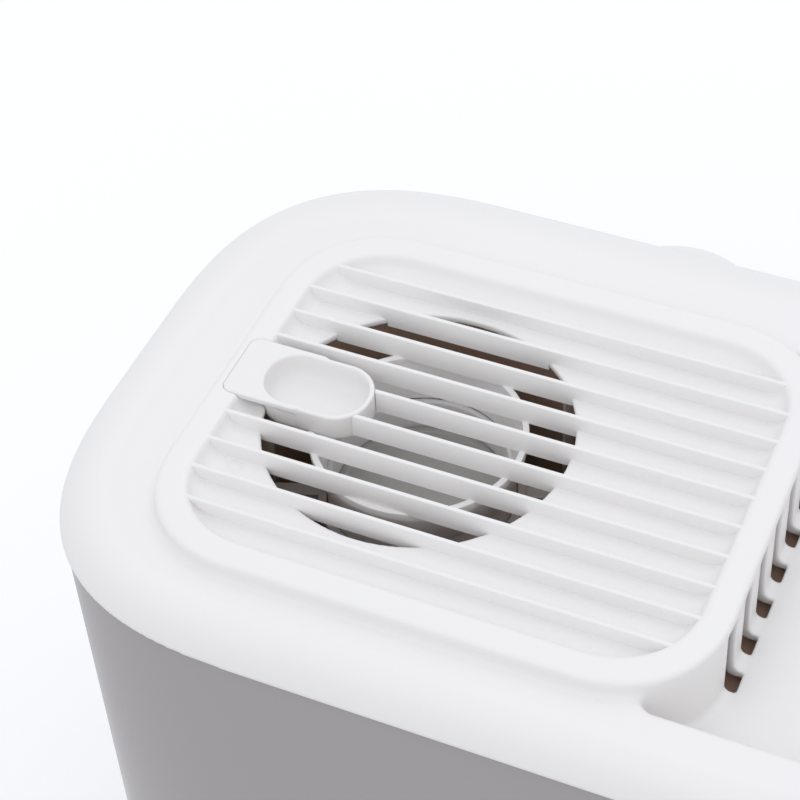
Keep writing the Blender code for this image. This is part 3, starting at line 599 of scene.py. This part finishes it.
def rounded_profile(corners, radius, steps=4):
    """A closed profile of (radius, height) corners with each corner off the axis rounded."""
    points = []
    count = len(corners)
    for i in range(count):
        here = Vector(corners[i])
        before = Vector(corners[i - 1]) - here
        after = Vector(corners[(i + 1) % count]) - here
        reach = min(radius, before.length * 0.45, after.length * 0.45)
        if here.x == 0 or reach < 0.02:
            points.append(tuple(here))
            continue
        start = here + before.normalized() * reach
        end = here + after.normalized() * reach
        for step in range(steps + 1):
            t = step / steps
            points.append(tuple(start * (1 - t) ** 2 + here * 2 * t * (1 - t) + end * t * t))
    return points


def turned(name, centre, corners, radius=0.5, steps=96):
    """A rounded profile turned about an upright axis."""
    profile = rounded_profile(corners, radius)
    shape = bmesh.new()
    columns = []
    for step in range(steps):
        angle = 2 * math.pi * step / steps
        cos, sin = math.cos(angle), math.sin(angle)
        columns.append([shape.verts.new((centre[0] + r * cos, centre[1] + r * sin, z)) for r, z in profile])
    for step in range(steps):
        here = columns[step]
        there = columns[(step + 1) % steps]
        for i in range(len(profile)):
            j = (i + 1) % len(profile)
            if profile[i][0] == 0 and profile[j][0] == 0:
                continue
            shape.faces.new((here[i], there[i], there[j], here[j]))
    return new_object(name, shape)


def boolean(target, tool, operation):
    modifier = target.modifiers.new("combine", "BOOLEAN")
    modifier.operation = operation
    modifier.solver = "EXACT"
    modifier.object = tool
    apply_modifiers(target)
    bpy.data.objects.remove(tool, do_unlink=True)
    return target


def block(name, low, high, bevel=0.0):
    """A box with rounded edges."""
    shape = bmesh.new()
    bmesh.ops.create_cube(shape, size=1.0)
    size = Vector(high) - Vector(low)
    middle = (Vector(high) + Vector(low)) / 2
    bmesh.ops.scale(shape, vec=size, verts=shape.verts)
    bmesh.ops.translate(shape, vec=middle, verts=shape.verts)
    if bevel:
        bmesh.ops.bevel(shape, geom=shape.edges[:], offset=bevel, segments=3, affect="EDGES", profile=0.5)
    return new_object(name, shape)


def smooth_edges(obj, width, angle=30):
    bevel = obj.modifiers.new("edges", "BEVEL")
    bevel.width = width * MM
    bevel.segments = 2
    bevel.limit_method = "ANGLE"
    bevel.angle_limit = math.radians(angle)
    apply_modifiers(obj)
    obj.data.shade_smooth()
    obj.data.set_sharp_from_angle(angle=math.radians(38))
    return obj


# --- materials -------------------------------------------------------------------------------


def base_material(name, colour, roughness, metallic=0.0, specular=0.5):
    made = bpy.data.materials.new(name)
    made.use_nodes = True
    shader = made.node_tree.nodes["Principled BSDF"]
    shader.inputs["Base Color"].default_value = (*colour, 1.0)
    shader.inputs["Roughness"].default_value = roughness
    shader.inputs["Metallic"].default_value = metallic
    shader.inputs["Specular IOR Level"].default_value = specular
    return made, made.node_tree.nodes, made.node_tree.links, shader


def noise(nodes, links, scale, detail=2.0, stretch=(1, 1, 1)):
    """A noise texture over the object's own metres."""
    place = nodes.new("ShaderNodeTexCoord")
    mapping = nodes.new("ShaderNodeMapping")
    mapping.inputs["Scale"].default_value = stretch
    texture = nodes.new("ShaderNodeTexNoise")
    texture.inputs["Scale"].default_value = scale
    texture.inputs["Detail"].default_value = detail
    links.new(place.outputs["Object"], mapping.inputs["Vector"])
    links.new(mapping.outputs["Vector"], texture.inputs["Vector"])
    return texture.outputs["Fac"]


def ramp(nodes, links, source, low, high, first, second):
    """Maps a 0 to 1 signal between low and high onto the range from first to second."""
    made = nodes.new("ShaderNodeMapRange")
    made.inputs["From Min"].default_value = low
    made.inputs["From Max"].default_value = high
    made.inputs["To Min"].default_value = first
    made.inputs["To Max"].default_value = second
    links.new(source, made.inputs["Value"])
    return made.outputs["Result"]


def tint(nodes, links, source, first, second):
    """A colour that runs between two colours with a signal."""
    mix = nodes.new("ShaderNodeMix")
    mix.data_type = "RGBA"
    mix.inputs[6].default_value = (*first, 1.0)
    mix.inputs[7].default_value = (*second, 1.0)
    links.new(source, mix.inputs[0])
    return mix.outputs[2]


def bump(nodes, links, shader, source, distance, strength=1.0):
    made = nodes.new("ShaderNodeBump")
    made.inputs["Distance"].default_value = distance
    made.inputs["Strength"].default_value = strength
    links.new(source, made.inputs["Height"])
    links.new(made.outputs["Normal"], shader.inputs["Normal"])


def plastic(name, colour, roughness=0.42, specular=0.5, spread=0.012):
    """Moulded plastic: a fine grain, a slow drift in colour and a little change in gloss."""
    made, nodes, links, shader = base_material(name, colour, roughness, 0.0, specular)
    slow = noise(nodes, links, 14.0, 3.0)
    darker = tuple(c * (1 - spread) for c in colour)
    lighter = tuple(min(c * (1 + spread), 1.0) for c in colour)
    links.new(tint(nodes, links, slow, darker, lighter), shader.inputs["Base Color"])
    fine = noise(nodes, links, 2600.0, 2.0)
    patches = noise(nodes, links, 60.0, 4.0)
    gloss = ramp(nodes, links, patches, 0.3, 0.7, roughness - 0.03, roughness + 0.03)
    links.new(gloss, shader.inputs["Roughness"])
    bump(nodes, links, shader, fine, 0.00001, 0.6)
    return made


def rubber_look(name, colour):
    made, nodes, links, shader = base_material(name, colour, 0.8, 0.0, 0.35)
    dust = noise(nodes, links, 180.0, 6.0)
    dusty = tuple(c * 1.5 + 0.01 for c in colour)
    links.new(tint(nodes, links, dust, colour, dusty), shader.inputs["Base Color"])
    bump(nodes, links, shader, noise(nodes, links, 1500.0, 3.0), 0.00003)
    return made


def metal_look(name, colour, roughness=0.3, stretch=(1, 1, 12)):
    made, nodes, links, shader = base_material(name, colour, roughness, 1.0)
    lines = noise(nodes, links, 900.0, 4.0, stretch)
    gloss = ramp(nodes, links, lines, 0.3, 0.7, roughness * 0.8, roughness * 1.3)
    links.new(gloss, shader.inputs["Roughness"])
    darker = tuple(c * 0.92 for c in colour)
    links.new(tint(nodes, links, lines, darker, colour), shader.inputs["Base Color"])
    bump(nodes, links, shader, lines, 0.000006)
    return made


def paper_look(name, colour):
    made, nodes, links, shader = base_material(name, colour, 0.92, 0.0, 0.2)
    fibres = noise(nodes, links, 420.0, 8.0, (1, 1, 0.25))
    darker = tuple(c * 0.78 for c in colour)
    links.new(tint(nodes, links, fibres, darker, colour), shader.inputs["Base Color"])
    bump(nodes, links, shader, fibres, 0.00025)
    return made


def clear_look(name, colour):
    made, nodes, links, shader = base_material(name, colour, 0.06)
    shader.inputs["Transmission Weight"].default_value = 0.85
    shader.inputs["IOR"].default_value = 1.49
    haze = noise(nodes, links, 90.0, 4.0)
    links.new(ramp(nodes, links, haze, 0.3, 0.7, 0.05, 0.12), shader.inputs["Roughness"])
    return made


def board_look(name):
    """Green solder mask with faint copper tracks under it."""
    made, nodes, links, shader = base_material(name, (0.03, 0.16, 0.07), 0.4)
    place = nodes.new("ShaderNodeTexCoord")
    brick = nodes.new("ShaderNodeTexBrick")
    brick.inputs["Scale"].default_value = 320.0
    brick.inputs["Mortar Size"].default_value = 0.03
    brick.inputs["Color1"].default_value = (0.03, 0.16, 0.07, 1)
    brick.inputs["Color2"].default_value = (0.035, 0.19, 0.085, 1)
    brick.inputs["Mortar"].default_value = (0.09, 0.30, 0.13, 1)
    links.new(place.outputs["Object"], brick.inputs["Vector"])
    links.new(brick.outputs["Color"], shader.inputs["Base Color"])
    return made


def dress(obj, body, look, slot=None, *nodes):
    """Gives a piece its material and body, and hides the CAD nodes that it stands for."""
    obj.data.materials.clear()
    obj.data.materials.append(look)
    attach(obj, body)
    if nodes:
        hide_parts(*nodes)
    return obj


def redress(node, look):
    """Gives a CAD node that stays visible its procedural material."""
    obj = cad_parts[node]
    obj.data.materials.clear()
    obj.data.materials.append(look)


# --- tank and what stands in it --------------------------------------------------------------


def tank_outline(grow=0.0):
    half = (LID_HALF[0] - TANK_INSET, LID_HALF[1] - TANK_INSET)
    return outline(LID_CENTRE, half, LID_CORNER - TANK_INSET, LID_POWER, grow)


def make_tank(white):
    """The tank's wall, rounded into its floor, with a pocket at the back for the rear post."""
    base, top = TANK_LOW[2], TANK_HIGH[2]
    across, rise = TANK_CURVE
    outer = []
    inner = []
    for step in range(9):
        angle = math.pi / 2 * step / 8
        inset = across * (1 - math.sin(angle))
        outer.append((tank_outline(-inset), base + rise * (1 - math.cos(angle))))
        inset = TANK_WALL + across * (1 - math.cos(angle))
        inner.append((tank_outline(-inset), base + TANK_FLOOR + rise * (1 - math.sin(angle))))
    rim = [
        (tank_outline(), top - 0.6),
        (tank_outline(-0.2), top - 0.15),
        (tank_outline(-0.6), top),
        (tank_outline(-TANK_WALL), top),
    ]
    tank = loft("tank_shell", outer + rim + inner)
    tank = boolean(tank, post_pocket(0.0, 0.0, top + 5), "DIFFERENCE")
    wall = post_pocket(POCKET_WALL, POCKET_WALL, top - 0.1)
    wall = boolean(wall, post_pocket(0.0, 0.0, top + 5), "DIFFERENCE")
    keep = loft("bound", [(tank_outline(-0.3), base), (tank_outline(-0.3), top + 2)])
    wall = boolean(wall, keep, "INTERSECT")
    tank = boolean(tank, wall, "UNION")
    border = WINDOW_BORDER - 0.3
    slot_low = (WINDOW_LOW[0] + border, TANK_LOW[1] - 5, WINDOW_LOW[2] + border)
    slot_high = (WINDOW_HIGH[0] - border, TANK_LOW[1] + 12, WINDOW_HIGH[2] - border)
    tank = boolean(tank, block("slot", slot_low, slot_high), "DIFFERENCE")
    tank.data.shade_smooth()
    tank.data.set_sharp_from_angle(angle=math.radians(30))
    # The material passed in as white is the tank's mid grey, painted shade for its sides.
    dress(tank, "base", white, "white_body", "water_tank")


def post_pocket(grow, deeper, high):
    """The room round the rear post, grown sideways and downwards by a wall."""
    radius = POST_RADIUS + 0.5 + grow
    return post_shape("pocket", radius, POCKET_FLAT_Y - grow, POST_LOW[2] - 0.5 - deeper, high)


def post_shape(name, radius, flat_y, low, high):
    """An upright round post at the middle of the back with a flat on its inner side."""
    points = []
    start = math.asin((flat_y - POST_CENTRE_Y) / radius)
    steps = 48
    for step in range(steps + 1):
        angle = start + (math.pi - 2 * start) * step / steps
        points.append((radius * math.cos(angle), POST_CENTRE_Y + radius * math.sin(angle)))
    return loft(name, [(points, low), (points, high)])


def make_window(clear):
    """The clear strip that shows in the wall, and its flange behind the wall."""
    flange_face = WINDOW_HIGH[1] - WINDOW_FLANGE
    strip_low = (WINDOW_LOW[0] + WINDOW_BORDER, WINDOW_LOW[1], WINDOW_LOW[2] + WINDOW_BORDER)
    strip_high = (WINDOW_HIGH[0] - WINDOW_BORDER, flange_face, WINDOW_HIGH[2] - WINDOW_BORDER)
    strip = block("window_strip", strip_low, strip_high, 0.5)
    back = block("strip_back", (WINDOW_LOW[0], flange_face, WINDOW_LOW[2]), tuple(WINDOW_HIGH), 0.4)
    dress(boolean(strip, back, "UNION"), "base", clear, "clear_window", "level_window")


def make_feet(look):
    """Round pads, slightly hollow underneath, with a peg into the tank's floor."""
    for index, place in enumerate(("front_left", "front_right", "back_left", "back_right"), 1):
        node = f"foot_{place}"
        low, high = node_box(node)
        centre = ((low + high) / 2)[:2]
        radius = (high[0] - low[0]) / 2
        shoulder = high[2] - FOOT_SHOULDER
        corners = [
            (0, 0.6),
            (6.0, 0.6),
            (6.6, 0.0),
            (radius - 1.0, 0.0),
            (radius, 1.4),
            (radius, shoulder),
            (4.0, shoulder),
            (4.0, high[2]),
            (0, high[2]),
        ]
        dress(turned(f"foot_pad_{index}", centre, corners, 0.5, 48), "base", look, "rubber_dark", node)


def pleated_ring(radius):
    """A closed wavy ring of points about the fan's axis."""
    steps = PLEAT_COUNT * 8
    points = []
    for step in range(steps):
        angle = 2 * math.pi * step / steps
        reach = radius + PLEAT_DEPTH * math.cos(PLEAT_COUNT * angle)
        points.append((FAN_CENTRE[0] + reach * math.cos(angle), FAN_CENTRE[1] + reach * math.sin(angle)))
    return points


def make_filter(paper, grey):
    """The pleated wick between its dish and its cap."""
    inner = pleated_ring(WICK_RADII[0] + PLEAT_DEPTH)
    outer = pleated_ring(WICK_RADII[1] - PLEAT_DEPTH)
    low, high = WICK_LOW[2], WICK_HIGH[2]
    wick = loft("wick_sleeve", [(inner, low), (outer, low), (outer, high), (inner, high)], closed=True)
    dress(wick, "base", paper, "wick_fibre", "wick_filter")
    rim = (BASE_HIGH[0] - BASE_LOW[0]) / 2
    floor_low, floor_high = DISH_FLOOR
    corners = [
        (0, floor_low),
        (rim, floor_low),
        (rim, DISH_TOP),
        (DISH_BORE, DISH_TOP),
        (DISH_BORE, floor_high),
        (0, floor_high),
    ]
    base = turned("filter_dish", FAN_CENTRE, corners, 0.7)
    for sx, sy in ((1, 0), (-1, 0), (0, 1), (0, -1)):
        x = FAN_CENTRE[0] + sx * LEG_REACH
        y = FAN_CENTRE[1] + sy * LEG_REACH
        leg_low = (x - LEG_HALF, y - LEG_HALF, BASE_LOW[2])
        leg_high = (x + LEG_HALF, y + LEG_HALF, floor_low + 1)
        leg = block("leg", leg_low, leg_high, 0.8)
        base = boolean(base, leg, "UNION")
    dress(smooth_shade(base), "base", grey, "grey_plastic", "filter_base")
    top = CAP_HIGH[2]
    corners = [
        (46.7, top - 2.9),
        (46.7, top),
        (rim, top),
        (rim, CAP_LOW[2]),
        (DISH_BORE, CAP_LOW[2]),
        (DISH_BORE, top - 2.9),
    ]
    cap = turned("filter_crown", FAN_CENTRE, corners, 0.6)
    dress(cap, "base", grey, "grey_plastic", "filter_cap")


def smooth_shade(obj):
    obj.data.shade_smooth()
    obj.data.set_sharp_from_angle(angle=math.radians(38))
    return obj


# --- fan unit --------------------------------------------------------------------------------


def make_duct(brown, light):
    """The duct with its flange, the struts that hold the motor's cup, and ribs on the duct's wall."""
    low, high = DUCT_BOX_LOW[2], DUCT_BOX_HIGH[2]
    radius = (DUCT_BOX_HIGH[0] - DUCT_BOX_LOW[0]) / 2
    flange_low, flange_high = DUCT_FLANGE
    corners = [
        (DUCT_INNER, low),
        (DUCT_OUTER, low),
        (DUCT_OUTER, flange_low),
        (radius, flange_low),
        (radius, flange_high),
        (DUCT_OUTER, flange_high),
        (DUCT_OUTER, high),
        (DUCT_INNER, high),
    ]
    duct = turned("fan_duct", FAN_CENTRE, corners, 0.6, 128)
    # The duct's brown is painted shade, lightened to make up for the shade inside the duct.
    dress(duct, "lid", brown, "brown_duct", "fan_housing")
    inner, outer = HUB_RADII
    hub_low, hub_high = HUB_HEIGHTS
    corners = [(inner, hub_low), (outer, hub_low), (outer, hub_high), (inner, hub_high)]
    hub = turned("duct_hub", FAN_CENTRE, corners, 0.5, 128)
    for step in range(4):
        angle = math.radians(20 + 90 * step)
        strut = spoke(angle, inner + 1.2, DUCT_INNER + 0.4, 2.2, hub_low + 2, hub_high - 1)
        hub = boolean(hub, strut, "UNION")
    # The hub, struts and ribs take the lighter copy of the duct's material, painted light.
    dress(smooth_shade(hub), "lid", light, "brown_duct")
    for index, degrees in enumerate(RIB_ANGLES, 1):
        rib = spoke(math.radians(degrees), DUCT_INNER - 3.2, DUCT_INNER + 0.2, 0.9, RIB_LOW, high - 3)
        rib.name = f"duct_rib_{index}"
        dress(smooth_edges(rib, 0.3), "lid", light, "brown_duct")


def spoke(angle, start, end, half_width, low, high):
    along = Vector((math.cos(angle), math.sin(angle)))
    across = Vector((-along.y, along.x))
    centre = Vector(FAN_CENTRE)
    corners = []
    for reach, side in ((start, -1), (end, -1), (end, 1), (start, 1)):
        corners.append(tuple(centre + along * reach + across * side * half_width))
    return loft("spoke", [(corners, low), (corners, high)])


def make_motor(white, grey, steel):
    """The open cup, the disc in it and the motor underneath."""
    top = CUP_HIGH[2]
    radius = (CUP_HIGH[0] - CUP_LOW[0]) / 2
    floor_low, floor_high = CUP_FLOOR
    corners = [
        (0, floor_low),
        (radius - CUP_SKIRT_WALL, floor_low),
        (radius - CUP_SKIRT_WALL, CUP_LOW[2]),
        (radius, CUP_LOW[2]),
        (radius, top),
        (radius - CUP_WALL, top),
        (radius - CUP_WALL, floor_high),
        (0, floor_high),
    ]
    dress(turned("motor_cup", FAN_CENTRE, corners, 0.6, 128), "lid", white, "white_pod", "motor_pod")
    edge = (DISC_HIGH[0] - DISC_LOW[0]) / 2
    high = DISC_HIGH[2]
    corners = [
        (0, DISC_LOW[2]),
        (edge, DISC_LOW[2]),
        (edge, high),
        (edge - 1.6, high),
        (edge - 2.2, high - 0.4),
        (0, high - 0.4),
    ]
    dress(turned("cup_disc", FAN_CENTRE, corners, 0.3, 128), "lid", grey, "disc_grey", "pod_disc")
    low, high = node_box("fan_motor")
    radius = (high[0] - low[0]) / 2
    corners = [
        (0, low[2]),
        (6.0, low[2]),
        (6.0, low[2] + 2),
        (radius - 2, low[2] + 2),
        (radius, low[2] + 4),
        (radius, high[2]),
        (0, high[2]),
    ]
    dress(turned("motor_can", FAN_CENTRE, corners, 0.8, 72), "lid", steel, "steel", "fan_motor")


def between(ends, share):
    return ends[0] + (ends[1] - ends[0]) * share


def blade_row(shape, index, share):
    """The corners of one blade's bowed cross-section, a share of the way out."""
    radius = between(BLADE_REACH, share)
    pitch = math.radians(between(BLADE_PITCH, share))
    chord = 14.0 + 7.0 * share - 5.0 * share**6
    angle = 2 * math.pi * index / BLADE_COUNT + 0.25 * share
    outward = Vector((math.cos(angle), math.sin(angle), 0))
    around = Vector((-math.sin(angle), math.cos(angle), 0))
    along = around * math.cos(pitch) + Vector((0, 0, 1)) * math.sin(pitch)
    normal = outward.cross(along)
    middle = Vector((*FAN_CENTRE, ROTOR_Z)) + outward * radius
    row = []
    for turn in range(16):
        t = 2 * math.pi * turn / 16
        bow = 0.9 * math.cos(t) ** 2
        spot = along * chord * 0.5 * math.cos(t) + normal * (0.75 * math.sin(t) - bow + 0.45)
        row.append(shape.verts.new(middle + spot))
    return row


def make_blade(index):
    shape = bmesh.new()
    steps = 12
    rows = [blade_row(shape, index, step / steps) for step in range(steps + 1)]
    shape.faces.new(rows[0])
    shape.faces.new(list(reversed(rows[-1])))
    for lower, upper in zip(rows, rows[1:]):
        for i in range(len(lower)):
            j = (i + 1) % len(lower)
            shape.faces.new((lower[i], lower[j], upper[j], upper[i]))
    return new_object(f"rotor_blade_{index + 1}", shape)


def make_rotor(brown):
    """The fan's hub and its twisted blades."""
    low, high = ROTOR_HUB_HEIGHTS
    corners = [
        (ROTOR_BORE, low),
        (ROTOR_HUB - 1.5, low),
        (ROTOR_HUB, low + 1.5),
        (ROTOR_HUB, high),
        (ROTOR_HUB - 1.8, high),
        (ROTOR_HUB - 1.8, low + 3),
        (6.0, low + 3),
        (6.0, high - 1),
        (ROTOR_BORE, high - 1),
    ]
    rotor = turned("rotor", FAN_CENTRE, corners, 0.4, 72)
    for index in range(BLADE_COUNT):
        dress(make_blade(index), "fan", brown, "brown_duct")
    dress(rotor, "fan", brown, "brown_duct", "fan_impeller")


# --- rear post and controls ------------------------------------------------------------------


def point_back(obj, y):
    """Turns an upright piece to point backwards from the inlet's place."""
    middle = (PLUG_LOW + PLUG_HIGH) / 2
    obj.rotation_euler = (math.radians(-90), 0, 0)
    obj.location = Vector((middle[0], y, middle[2])) * MM
    return obj


def make_rear(white, dark, brass):
    """The rear post and the power inlet in its mouth."""
    post = post_shape("rear_post", POST_RADIUS, POST_FLAT_Y, POST_LOW[2], TANK_HIGH[2])
    corners = [(0, -12.0), (6.6, -12.0), (6.6, 0.0), (9.0, 0.3), (9.6, 14.0), (0, 14.0)]
    mouth = point_back(turned("mouth", (0, 0), corners, 0.4, 64), PLUG_HIGH[1] + 0.2)
    post = smooth_edges(boolean(post, mouth, "DIFFERENCE"), 0.8, 40)
    dress(post, "lid", white, "white_body", "rear_housing")
    corners = [(3.2, 12), (6.3, 12), (6.3, 0), (0, 0), (0, 3.0), (3.2, 3.0)]
    sleeve = point_back(turned("inlet_sleeve", (0, 0), corners, 0.4, 48), PLUG_LOW[1])
    dress(sleeve, "lid", dark, "dark_plastic", "power_inlet")
    corners = [(0, 2.0), (1.0, 2.0), (1.0, 9.6), (0.6, 10.4), (0, 10.4)]
    pin = point_back(turned("inlet_pin", (0, 0), corners, 0.3, 32), PLUG_LOW[1])
    dress(pin, "lid", brass, "brass")


def make_keys(white, lens_look):
    """Three round keys with dished tops, and the light pipe beside them."""
    for name in ("power", "speed", "timer"):
        node = f"button_{name}"
        low, high = node_box(node)
        centre = ((low + high) / 2)[:2]
        top = high[2]
        radius = BUTTON_RADIUS
        corners = [
            (0, low[2]),
            (radius + 1.0, low[2]),
            (radius + 1.0, low[2] + 1.8),
            (radius, low[2] + 1.8),
            (radius, top - 0.5),
            (radius - 0.6, top),
            (radius - 1.6, top - 0.15),
            (radius - 2.8, top - 0.45),
            (0, top - 0.6),
        ]
        dress(turned(f"key_{name}", centre, corners, 0.3, 64), f"{name}_key", white, "white_button", node)
    low, high = node_box("indicator_lens")
    centre = ((low + high) / 2)[:2]
    corners = [(0, low[2]), (2.0, low[2]), (2.0, high[2] - 0.4), (1.4, high[2]), (0, high[2] + 0.1)]
    lens = turned("light_pipe", centre, corners, 0.2, 32)
    dress(lens, "lid", lens_look, "lens", "indicator_lens")


# --- stage -----------------------------------------------------------------------------------


def make_stage():
    """A plain pale floor that runs past every view."""
    shape = bmesh.new()
    bmesh.ops.create_grid(shape, x_segments=1, y_segments=1, size=40000.0)
    floor = new_object("floor", shape)
    look, nodes, links, shader = base_material("floor_paper", (0.95, 0.95, 0.95), 0.9, 0.0, 0.1)
    tone = noise(nodes, links, 3.0, 2.0)
    paper = tint(nodes, links, tone, (0.945, 0.945, 0.945), (0.955, 0.955, 0.955))
    links.new(paper, shader.inputs["Base Color"])
    shader.inputs["Emission Color"].default_value = (1.0, 1.0, 1.0, 1.0)
    shader.inputs["Emission Strength"].default_value = 0.08
    floor.data.materials.append(look)
    floor.visible_diffuse = False


def make_light():
    """An even white dome that fades below the horizon, and two weak broad keys, front and back."""
    world = bpy.data.worlds.new("studio")
    bpy.context.scene.world = world
    world.use_nodes = True
    nodes, links = world.node_tree.nodes, world.node_tree.links
    nodes.clear()
    output = nodes.new("ShaderNodeOutputWorld")
    back = nodes.new("ShaderNodeBackground")
    place = nodes.new("ShaderNodeTexCoord")
    split = nodes.new("ShaderNodeSeparateXYZ")
    links.new(place.outputs["Generated"], split.inputs["Vector"])
    fade = ramp(nodes, links, split.outputs["Z"], -0.9, -0.05, 0.0, 1.0)
    links.new(tint(nodes, links, fade, (0.25, 0.25, 0.26), LIGHT_COLOUR), back.inputs["Color"])
    back.inputs["Strength"].default_value = 0.795
    links.new(back.outputs["Background"], output.inputs["Surface"])
    for name, tilt in (("front_key", 35), ("back_key", -35)):
        key = bpy.data.lights.new(name, "SUN")
        key.energy = 0.37
        key.color = LIGHT_COLOUR
        key.angle = math.radians(50)
        lamp = bpy.data.objects.new(name, key)
        lamp.rotation_euler = (math.radians(tilt), 0, 0)
        bpy.context.scene.collection.objects.link(lamp)
    bpy.context.scene.view_settings.view_transform = "Standard"


def make_camera():
    """A long lens above the front right corner, looking down at the air outlet."""
    azimuth, elevation, roll = math.radians(26.505), math.radians(46.160), math.radians(-3.943)
    distance = 0.63128
    low, high = Vector(CAD_BOUNDS[0]), Vector(CAD_BOUNDS[1])
    middle = (low + high) / 2
    target = Vector((middle.x - 0.05489, middle.y - 0.00525, high.z))
    away = Vector(
        (
            math.sin(azimuth) * math.cos(elevation),
            -math.cos(azimuth) * math.cos(elevation),
            math.sin(elevation),
        )
    )
    right = Vector((0, 0, 1)).cross(away).normalized()
    up = away.cross(right)
    turned_right = right * math.cos(roll) + up * math.sin(roll)
    turned_up = up * math.cos(roll) - right * math.sin(roll)
    data = bpy.data.cameras.new("camera")
    data.lens_unit = "FOV"
    data.angle = math.radians(20.3107)
    data.clip_start = 0.01
    camera = bpy.data.objects.new("camera", data)
    matrix = Matrix((turned_right, turned_up, away)).transposed().to_4x4()
    matrix.translation = target + away * distance
    camera.matrix_world = matrix
    bpy.context.scene.collection.objects.link(camera)
    bpy.context.scene.camera = camera


def redress_fittings(brown, dark, grey, rubber, steel, brass):
    """Looks for the flat or hidden fittings that stay as their CAD nodes."""
    # The air guide takes the duct's brown: painted shade seen through the comb's slots.
    redress("air_guide", brown)
    redress("control_case", dark)
    redress("control_board", board_look("board_look"))
    redress("button_pad", rubber_look("silicone_look", (0.42, 0.42, 0.43)))
    redress("window_gasket", rubber)
    redress("lid_seal", rubber)
    redress("float_guide", grey)
    redress("level_float", plastic("float_red", (0.62, 0.10, 0.04), 0.35))
    redress("impeller_nut", brass)
    redress("motor_shaft", steel)
    for index in range(1, 5):
        redress(f"fan_screw_{index}", steel)
    for index in range(1, 3):
        redress(f"case_screw_{index}", steel)


def main():
    """Builds every piece, then the floor, the light and the camera."""
    white = plastic("white_moulded", (0.89, 0.872, 0.860), 0.42)
    tray_white = plastic("white_tray", (0.88, 0.862, 0.850), 0.38)
    # Painted shade: the tank's mid grey, much darker than the lid, stands in for the shade on the tank's
    # sides.
    tank_painted_shade_grey = plastic("tank_grey_painted_shade", (0.372, 0.345, 0.347), 0.16, specular=0.8)
    cup_white = plastic("white_cup", (0.78, 0.765, 0.75), 0.45)
    # Painted shade and painted light: this brown paints the warm dark deep in the housing, and it is
    # lighter than the parts' brown to make up for the shade they lie in. The duct, the fan and the air
    # guide take it.
    brown = plastic("duct_brown", (0.40, 0.27, 0.20), 0.55, spread=0.1)
    # Painted light: a lighter copy of the duct's material for the hub, struts and ribs, which catch light
    # inside the dark duct.
    light = plastic("duct_painted_lit_copy", (0.55, 0.50, 0.46), 0.5)
    dark = plastic("dark_moulded", (0.07, 0.05, 0.042), 0.5)
    grey = plastic("grey_moulded", (0.40, 0.39, 0.38), 0.5)
    disc = plastic("disc_grey", (0.42, 0.40, 0.385), 0.35)
    rubber = rubber_look("rubber_look", (0.035, 0.035, 0.037))
    steel = metal_look("steel_look", (0.60, 0.60, 0.61))
    brass = metal_look("brass_look", (0.72, 0.52, 0.24))
    clear = clear_look("clear_look", (0.93, 0.96, 0.97))
    lens_look = plastic("lens_look", (0.62, 0.72, 0.86), 0.2)
    make_lid(white)
    make_slats(white)
    make_tray(tray_white)
    make_tank(tank_painted_shade_grey)
    make_window(clear)
    make_feet(rubber)
    make_filter(paper_look("wick_paper", (0.82, 0.80, 0.74)), grey)
    make_duct(brown, light)
    make_motor(cup_white, disc, steel)
    make_rotor(brown)
    make_rear(white, dark, brass)
    make_keys(white, lens_look)
    redress_fittings(brown, dark, grey, rubber, steel, brass)
    make_stage()
    make_light()
    make_camera()


main()
